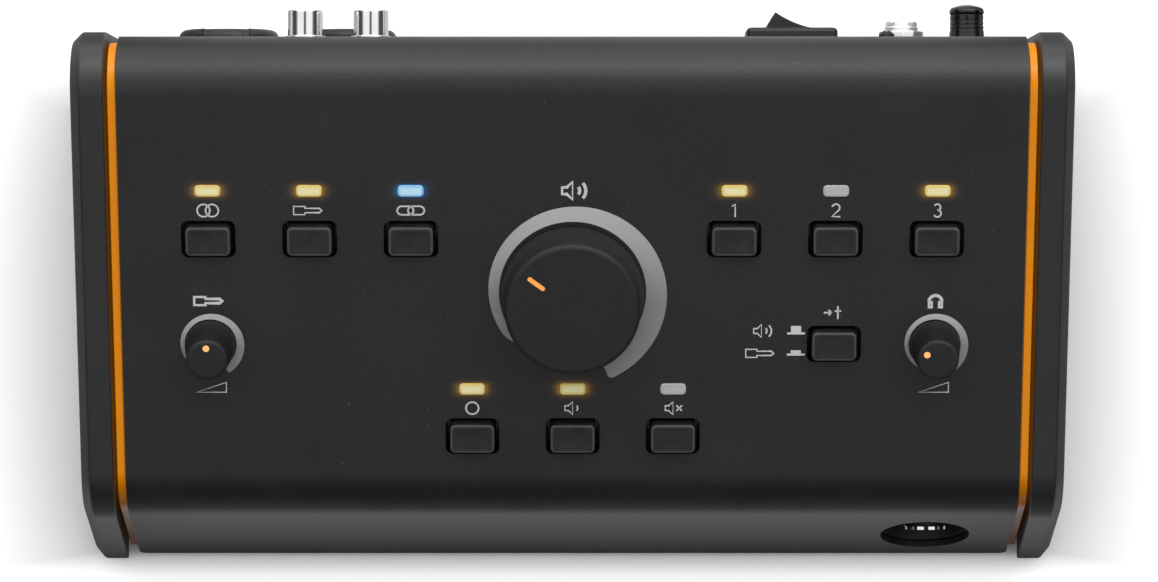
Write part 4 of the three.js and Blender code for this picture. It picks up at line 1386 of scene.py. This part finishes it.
dc = {
    "nut": 5.35,
    "nutSides": 12,
    "nutProud": 2.6,
    "nutGap": 0.02,
    "nutEdge": 0.22,
    "nose": 4.0,
    "noseProud": 4.9,
    "bore": 3.1,
    "boreDepth": 9,
    "pin": 1.05,
    "pinSetback": 1,
    "pinTip": 0.5,
    "body": 4.9,
    "bodyBack": -14.5,
    "bodyFront": -1.8,
    "step": (0.25, 3.5),   # how much slimmer the nose is from this height on
    "edges": (0.12, 0.12, 0.3, 0.2),    # of the step's foot and top, the tip and the bore
    "notches": 4,
    "firstNotch": 45.0,
    "notch": (1.4, 1.2, 0.1),
    "notchDepth": 0.9,
    "notchSunk": 0.3,
    "insulator": (2.5, 0.02, 1.4),  # inner radius, gap to the bore, and how far its face lies in
}


def makeDcJack():
    place = onRear(middleOf("dc_jack"))
    nose, tip, hole, seat = dc["nose"], dc["noseProud"], dc["bore"], fitting["seat"]
    (slimmer, step), edges = dc["step"], dc["edges"]
    deep = tip - dc["boreDepth"]
    barrel = lathe("barrel", [
        (0, dc["bodyBack"]),
        (dc["body"], dc["bodyBack"]),
        (dc["body"], dc["bodyFront"]),
        (nose, dc["bodyFront"]),
        (nose, step, edges[0]),
        (nose - slimmer, step + slimmer, edges[1]),
        (nose - slimmer, tip, edges[2]),
        (hole, tip, edges[3]),
        (hole, deep),
        (0, deep),
    ])
    notch = slab("notch", roundedBox(*dc["notch"], 2), tip - dc["notchDepth"], tip + 1)
    radius = nose - dc["notchSunk"]
    ring = {"Count": dc["notches"], "Circle radius": radius, "First degrees": dc["firstNotch"]}
    carve(barrel, [grow("notches", groups["ring"], ring, shape=notch)], name="dc_barrel")
    dress(barrel, "satin_nickel", place, ["dc_jack"], sharp=30, slot="bright_nickel")
    inner, top = nose + dc["nutGap"], dc["nutProud"]
    room = [(inner, seat), (inner, top + 1), (0, top + 1), (0, seat - 1), (inner, seat - 1), (inner, seat)]
    nut = slab("nut", circle(dc["nut"], dc["nutSides"]), seat, top)
    carve(nut, [lathe("room", room)], name="dc_nut")
    dress(roundEdges(nut, dc["nutEdge"], angle=20), "satin_nickel", place, sharp=25, slot="bright_nickel")
    top = tip - dc["pinSetback"]
    pin = [(0, deep), (dc["pin"], deep), (dc["pin"], top, dc["pinTip"]), (0, top)]
    dress(lathe("dc_pin", pin, 32), "bright_nickel", place)
    inner, gap, setback = dc["insulator"]
    dress(lathe("dc_insulator", tube(inner, hole - gap, deep, tip - setback)), "socket_black", place)


post = {
    "foot": 4.3,
    "neck": 4.0,           # under the head
    "head": 4.15,
    "proud": 9.0,
    "headHeight": 2.4,
    "grooves": 3,
    "grooveDrop": 1.5,     # of the first one, under the head
    "groovePitch": 1.0,
    "grooveWidth": 0.24,
    "grooveDepth": 0.16,
    "grooveEdges": (0.08, 0.05),
    "stem": 1.9,
    "nut": (3.8, 2.4),
    "nutTop": -1.8,
    "edge": 0.2,           # of the nut and the foot
    # the head's corners: in from its radius, up from the shoulder, and rounding
    "headShape": [(0.15, -0.1, 0.08), (0.35, 0, 0.05), (0, 0.1, 0.55), (0, 1.45, 0.8), (2.1, 2.3, 1.6)],
}


def makePost():
    neck, head, proud, seat = post["neck"], post["head"], post["proud"], fitting["seat"]
    shoulder = proud - post["headHeight"]
    nutRadius, nutHeight = post["nut"]
    low = post["nutTop"] - nutHeight
    outerEdge, innerEdge = post["grooveEdges"]
    edge = post["edge"]
    half = post["grooveWidth"] / 2
    side = []
    for i in reversed(range(post["grooves"])):
        z = shoulder - post["grooveDrop"] - i * post["groovePitch"]
        r = neck + (post["foot"] - neck) * ((shoulder - z) / (shoulder - seat)) ** 3
        deep = r - post["grooveDepth"]
        side += [(r, z - half, outerEdge), (deep, z - half, innerEdge)]
        side += [(deep, z + half, innerEdge), (r, z + half, outerEdge)]
    profile = [
        (0, low),
        (nutRadius, low, edge),
        (nutRadius, post["nutTop"], edge),
        (post["stem"], post["nutTop"]),
        (post["stem"], seat),
        (post["foot"], seat, edge),
        *side,
        *[(head - inwards, shoulder + rise, rounding) for inwards, rise, rounding in post["headShape"]],
        (0, proud),
    ]
    place = onRear(middleOf("cable_post"))
    turned = lathe("post", profile, fine, 6)
    dress(turned, "post_black", place, ["cable_post"], sharp=60, slot="socket_black")


for node in frame["nodes"]:
    if node.startswith("combo_jack"):
        makeCombo(node)
    elif node.startswith("output_jack"):
        makeOutput(node)
makePhono("phono_jack_1", "insulator_red")
makePhono("phono_jack_2", "insulator_white")
makeSwitch()
makeDcJack()
makePost()
print("rear: sockets, switch, adaptor socket and post")


# Headphone socket

cup = {"wall": 1.2, "floorDepth": 6.6, "setback": 1.4}
phones = {
    "nose": 4.7,
    "noseGap": 0.3,        # round it, in the cup's floor
    "noseLess": 0.2,
    "noseEdge": 0.2,
    "body": 14.2,
    "bodyCorner": 0.8,
    "bodyDepth": 24,
    "bodyGap": 0.3,        # behind the cup
    "ring": (3.7, 4.6),
    "ringDepth": 0.75,
    "ringEdge": 0.2,
    "teeth": 12,
    "tooth": (0.7, 1.7, 0.12),      # across, along and corner
    "toothDrop": 0.02,
    "firstTooth": 15.0,
    "leaves": (-7, -12),   # behind the socket's mouth
}


def makePhones():
    mouth = -cup["setback"]
    floor = mouth - cup["floorDepth"]
    back = floor - cup["wall"]
    inner = holes["phones"] * math.sin(frontTilt)
    outer = inner + cup["wall"]
    reach = outer + holes["phones"]
    hole = phones["nose"] + phones["noseGap"]
    wall = [(outer, back), (outer, reach), (inner, reach), (inner, floor)]
    block = slab("block", roundedBox(4 * reach, 4 * reach, 1, 1), -case["sheet"] - case["cupGap"], 2 * reach)
    shift(block, Matrix.Rotation(frontTilt - math.pi / 2, 4, "X"))
    shell = lathe("shell", [(hole, back), *wall, (hole, floor), (hole, back)], fine)
    carve(shell, [block], name="cup_shell")
    # the cup, the socket's nose and its nut take the darker copy of the socket black: painted shade in the
    # recess
    dress(shell, "cup_black", onPhones, ["phones_cup"], slot="socket_black")
    top = back - phones["bodyGap"]
    face = mouth - phones["ringDepth"]
    radius = phones["nose"] - phones["noseLess"]
    nose = lathe("nose", [(0, top - 1), (radius, top - 1), (radius, face, phones["noseEdge"]), (0, face)])
    carve(nose, [socketBody(phones["body"], phones["bodyCorner"], top - phones["bodyDepth"], top)], "UNION")
    carve(nose, [boreTool(face)], name="phones_socket")
    dress(nose, "cup_black", onPhones, ["phones_jack"], slot="socket_black")
    low, high = phones["ring"]
    ring = tube(low, high, face, mouth, phones["ringEdge"], phones["ringEdge"])
    across, along, corner = phones["tooth"]
    tooth = slab("tooth", roundedBox(across, along, corner, 2), face, mouth - phones["toothDrop"])
    values = {
        "Count": phones["teeth"],
        "Circle radius": high + across / 2 - corner,
        "First degrees": phones["firstTooth"],
        "Material": finishes["bright_nickel"],
    }
    dress(lathe("phones_nut", ring), "cup_black", onPhones, slot="socket_black")
    dress(grow("phones_nut_teeth", groups["ring"], values, shape=tooth), "bright_nickel", onPhones)
    leafContacts("phones_leaves", onPhones, [mouth + depth for depth in phones["leaves"]])


makePhones()
print("front: headphone socket")


# Feet and screws

foot = {
    "radius": 6.5,
    "tip": 5.7,
    "height": 3.4,
    "recess": 2.0,
    "recessDepth": 1.4,
    "edges": (0.1, 0.15, 0.5, 0.2),     # of the recess's floor and mouth, the tip and the top
}
screws = {
    "rear": [(0.07365, 0.052)],         # x and z of each on the wall
    "rearHead": {"Head radius": 1.85, "Head height": 1.9, "Recess width": 0.55, "Recess length": 2.1},
    "footHead": {"Head radius": 1.75, "Head height": 0.8, "Recess width": 0.45, "Recess length": 1.9},
}


def makeFoot(node):
    middle = middleOf(node)
    place = standOn(Vector((middle.x, middle.y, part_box(node)[0].z)), right, rear, up)
    recess, deep, high = foot["recess"], foot["recessDepth"], foot["height"]
    floorEdge, mouthEdge, tipEdge, topEdge = foot["edges"]
    profile = [
        (0, deep),
        (recess, deep, floorEdge),
        (recess, 0, mouthEdge),
        (foot["tip"], 0, tipEdge),
        (foot["radius"], high, topEdge),
        (0, high),
    ]
    dress(lathe(node + "_rubber", profile), "foot_rubber", place, [node], sharp=50)
    values = {**screws["footHead"], "Material": finishes["plain_steel"]}
    upsideDown = Matrix.Translation((0, 0, deep)) @ Matrix.Rotation(math.pi, 4, "X")
    dress(grow(node + "_screw", groups["screw"], values, [(0, 0, 0)]), "plain_steel", place @ upsideDown)


for node in frame["nodes"]:
    if node.startswith("foot_"):
        makeFoot(node)
values = {**screws["rearHead"], "Material": finishes["socket_black"]}
heads = grow("rear_screws", groups["screw"], values, [(-x / mm, z / mm, 0) for x, z in screws["rear"]])
dress(heads, "socket_black", standOn(Vector((0, rearWall, 0)), -right, up, rear))
print("feet and screws")


# CAD nodes that stay get their finish

slotOf = {entry["node"]: entry["material_slot"] for entry in frame["record"]["subparts"]}
for node, thing in frame["nodes"].items():
    thing.data.materials.clear()
    thing.data.materials.append(finishes[slotOf[node]])


# Camera, light and floor

view = {
    "distance": 1.2,              # from the middle of the panel
    "focalPixels": 5136,
    "imageWidth": 1158,
    "sensor": 36.0,
    "across": 0.0015,
    "along": -0.00148,
}
cameraData = bpy.data.cameras.new("camera")
cameraData.sensor_width = view["sensor"]
cameraData.lens = view["focalPixels"] * view["sensor"] / view["imageWidth"]
camera = newObject("camera", cameraData)
camera.location = (view["across"], view["along"], panelPoint.z + view["distance"])
bpy.context.scene.camera = camera

softbox = {"place": (0.35, 1.0, 1.3), "target": (0, 0, 0.04), "size": (1.5, 0.8), "power": 5.0}
lamp = bpy.data.lights.new("rearSoftbox", "AREA")
lamp.shape = "RECTANGLE"
lamp.size, lamp.size_y = softbox["size"]
lamp.energy = softbox["power"]
thing = newObject("rearSoftbox", lamp)
thing.location = softbox["place"]
thing.rotation_euler = (Vector(softbox["target"]) - thing.location).to_track_quat("-Z", "Y").to_euler()

floorReach = 3.0
corners = [(x * floorReach, y * floorReach, 0) for x, y in ((-1, -1), (1, -1), (1, 1), (-1, 1))]
floor = newObject("floor", bpy.data.meshes.new("floor"))
floor.data.from_pydata(corners, [], [(0, 1, 2, 3)])
paper = {
    "seen": "#f4f4f4",              # by the camera
    "open": "#e6e6e6",              # by other rays, away from the case
    "shaded": "#8a8a8a",
    "glow": 0.52,
    "frontReach": (-0.0016, 0.0044),
    "rearReach": 0.02,
    "sideReach": 0.026,
    "sideGlow": 0.36,
    "sideShade": 0.12,              # how far beside the case its shade lies
    "throw": ((0.003, 0.018), (0.06, 0.028)),   # from where to where the floor before it is lit
    "throwLevel": 0.42,
}


def paperWhite():  # a camera sees it whiter than the case does, and whiter away from the case
    pale = Finish("floor")
    seen = pale.node("ShaderNodeLightPath")
    x, y, _ = pale.parts(pale.place)
    front, edge = cadBox[0][1], cadBox[1][0]
    across = pale.math("ABSOLUTE", x)
    beside = pale.between(across, edge, edge + paper["sideReach"])
    before = pale.between(y, *[front - reach for reach in paper["frontReach"]])
    behind = pale.between(y, rearWall - paper["rearReach"], rearWall)
    beyond = pale.math("MAXIMUM", before, behind) * paper["glow"]
    glow = pale.mix(pale.math("MAXIMUM", beside * paper["sideGlow"], beyond), black, white)
    near, far = [pale.between(y, *[front - reach for reach in reaches]) for reaches in paper["throw"]]
    lit = near * far
    shade = pale.between(y, front + paper["rearReach"], front) * (1 - lit)
    sides = pale.between(across, edge + paper["sideShade"], edge)
    sides = sides * pale.between(across, edge - paper["sideReach"], edge)
    shade = pale.math("MAXIMUM", shade, sides)
    unseen = pale.mix(shade, tone(paper["open"]), tone(paper["shaded"]))
    thrown = pale.mix(lit * paper["throwLevel"], black, white)
    return pale.surface(
        Base_Color=pale.mix(seen, unseen, tone(paper["seen"])),
        Roughness=0.75,
        Emission_Color=pale.mix(seen, thrown, glow),
        Emission_Strength=1.0,
    )


floor.data.materials.append(paperWhite())

sky = {
    # brightness round the case, in degrees: 0 at the rear horizon, 90 overhead, 180 at the front horizon
    "round": [
        (0, 1.7), (14, 1.75), (43, 1.55), (45, 3.0), (47, 3.0), (49, 1.55), (72, 1.15),
        (90, 1.0), (104, 0.72), (122, 0.5), (134, 0.3), (146, 0.04), (180, 0.02),
    ],
    "sideDark": (0.7, 0.86),        # a direction's share sideways, from which the room is dark
    "sideLevel": 0.07,
    "overheadDark": (0.984, 0.994),
    "overheadLevel": 0.14,
    "strength": 2.0,
}
world = bpy.data.worlds.new("studio")
bpy.context.scene.world = world
world.use_nodes = True
dome = Graph(world.node_tree)
toSide, toRear, toTop = dome.parts(dome.node("ShaderNodeTexCoord", {}, {}, "Generated"))
turn = dome.math("ARCTAN2", toTop, toRear) * (1 / math.pi)
strength = sky["strength"]
stops = [(angle / 180, (*[level / strength] * 3, 1)) for angle, level in sky["round"]]
shade = dome.node("ShaderNodeValToRGB", {"stops": stops}, {0: turn})
aside = dome.between(dome.math("ABSOLUTE", toSide), *sky["sideDark"])
overhead = dome.between(toTop, *sky["overheadDark"])
shade = dome.mix(aside * (1 - sky["sideLevel"]), shade, black)
shade = dome.mix(overhead * (1 - sky["overheadLevel"]), shade, black)
background = world.node_tree.nodes["Background"]
dome.feed(background.inputs["Color"], shade)
dome.feed(background.inputs["Strength"], strength)
bpy.context.scene.view_settings.view_transform = "Standard"
print("stage: camera, lights and floor")
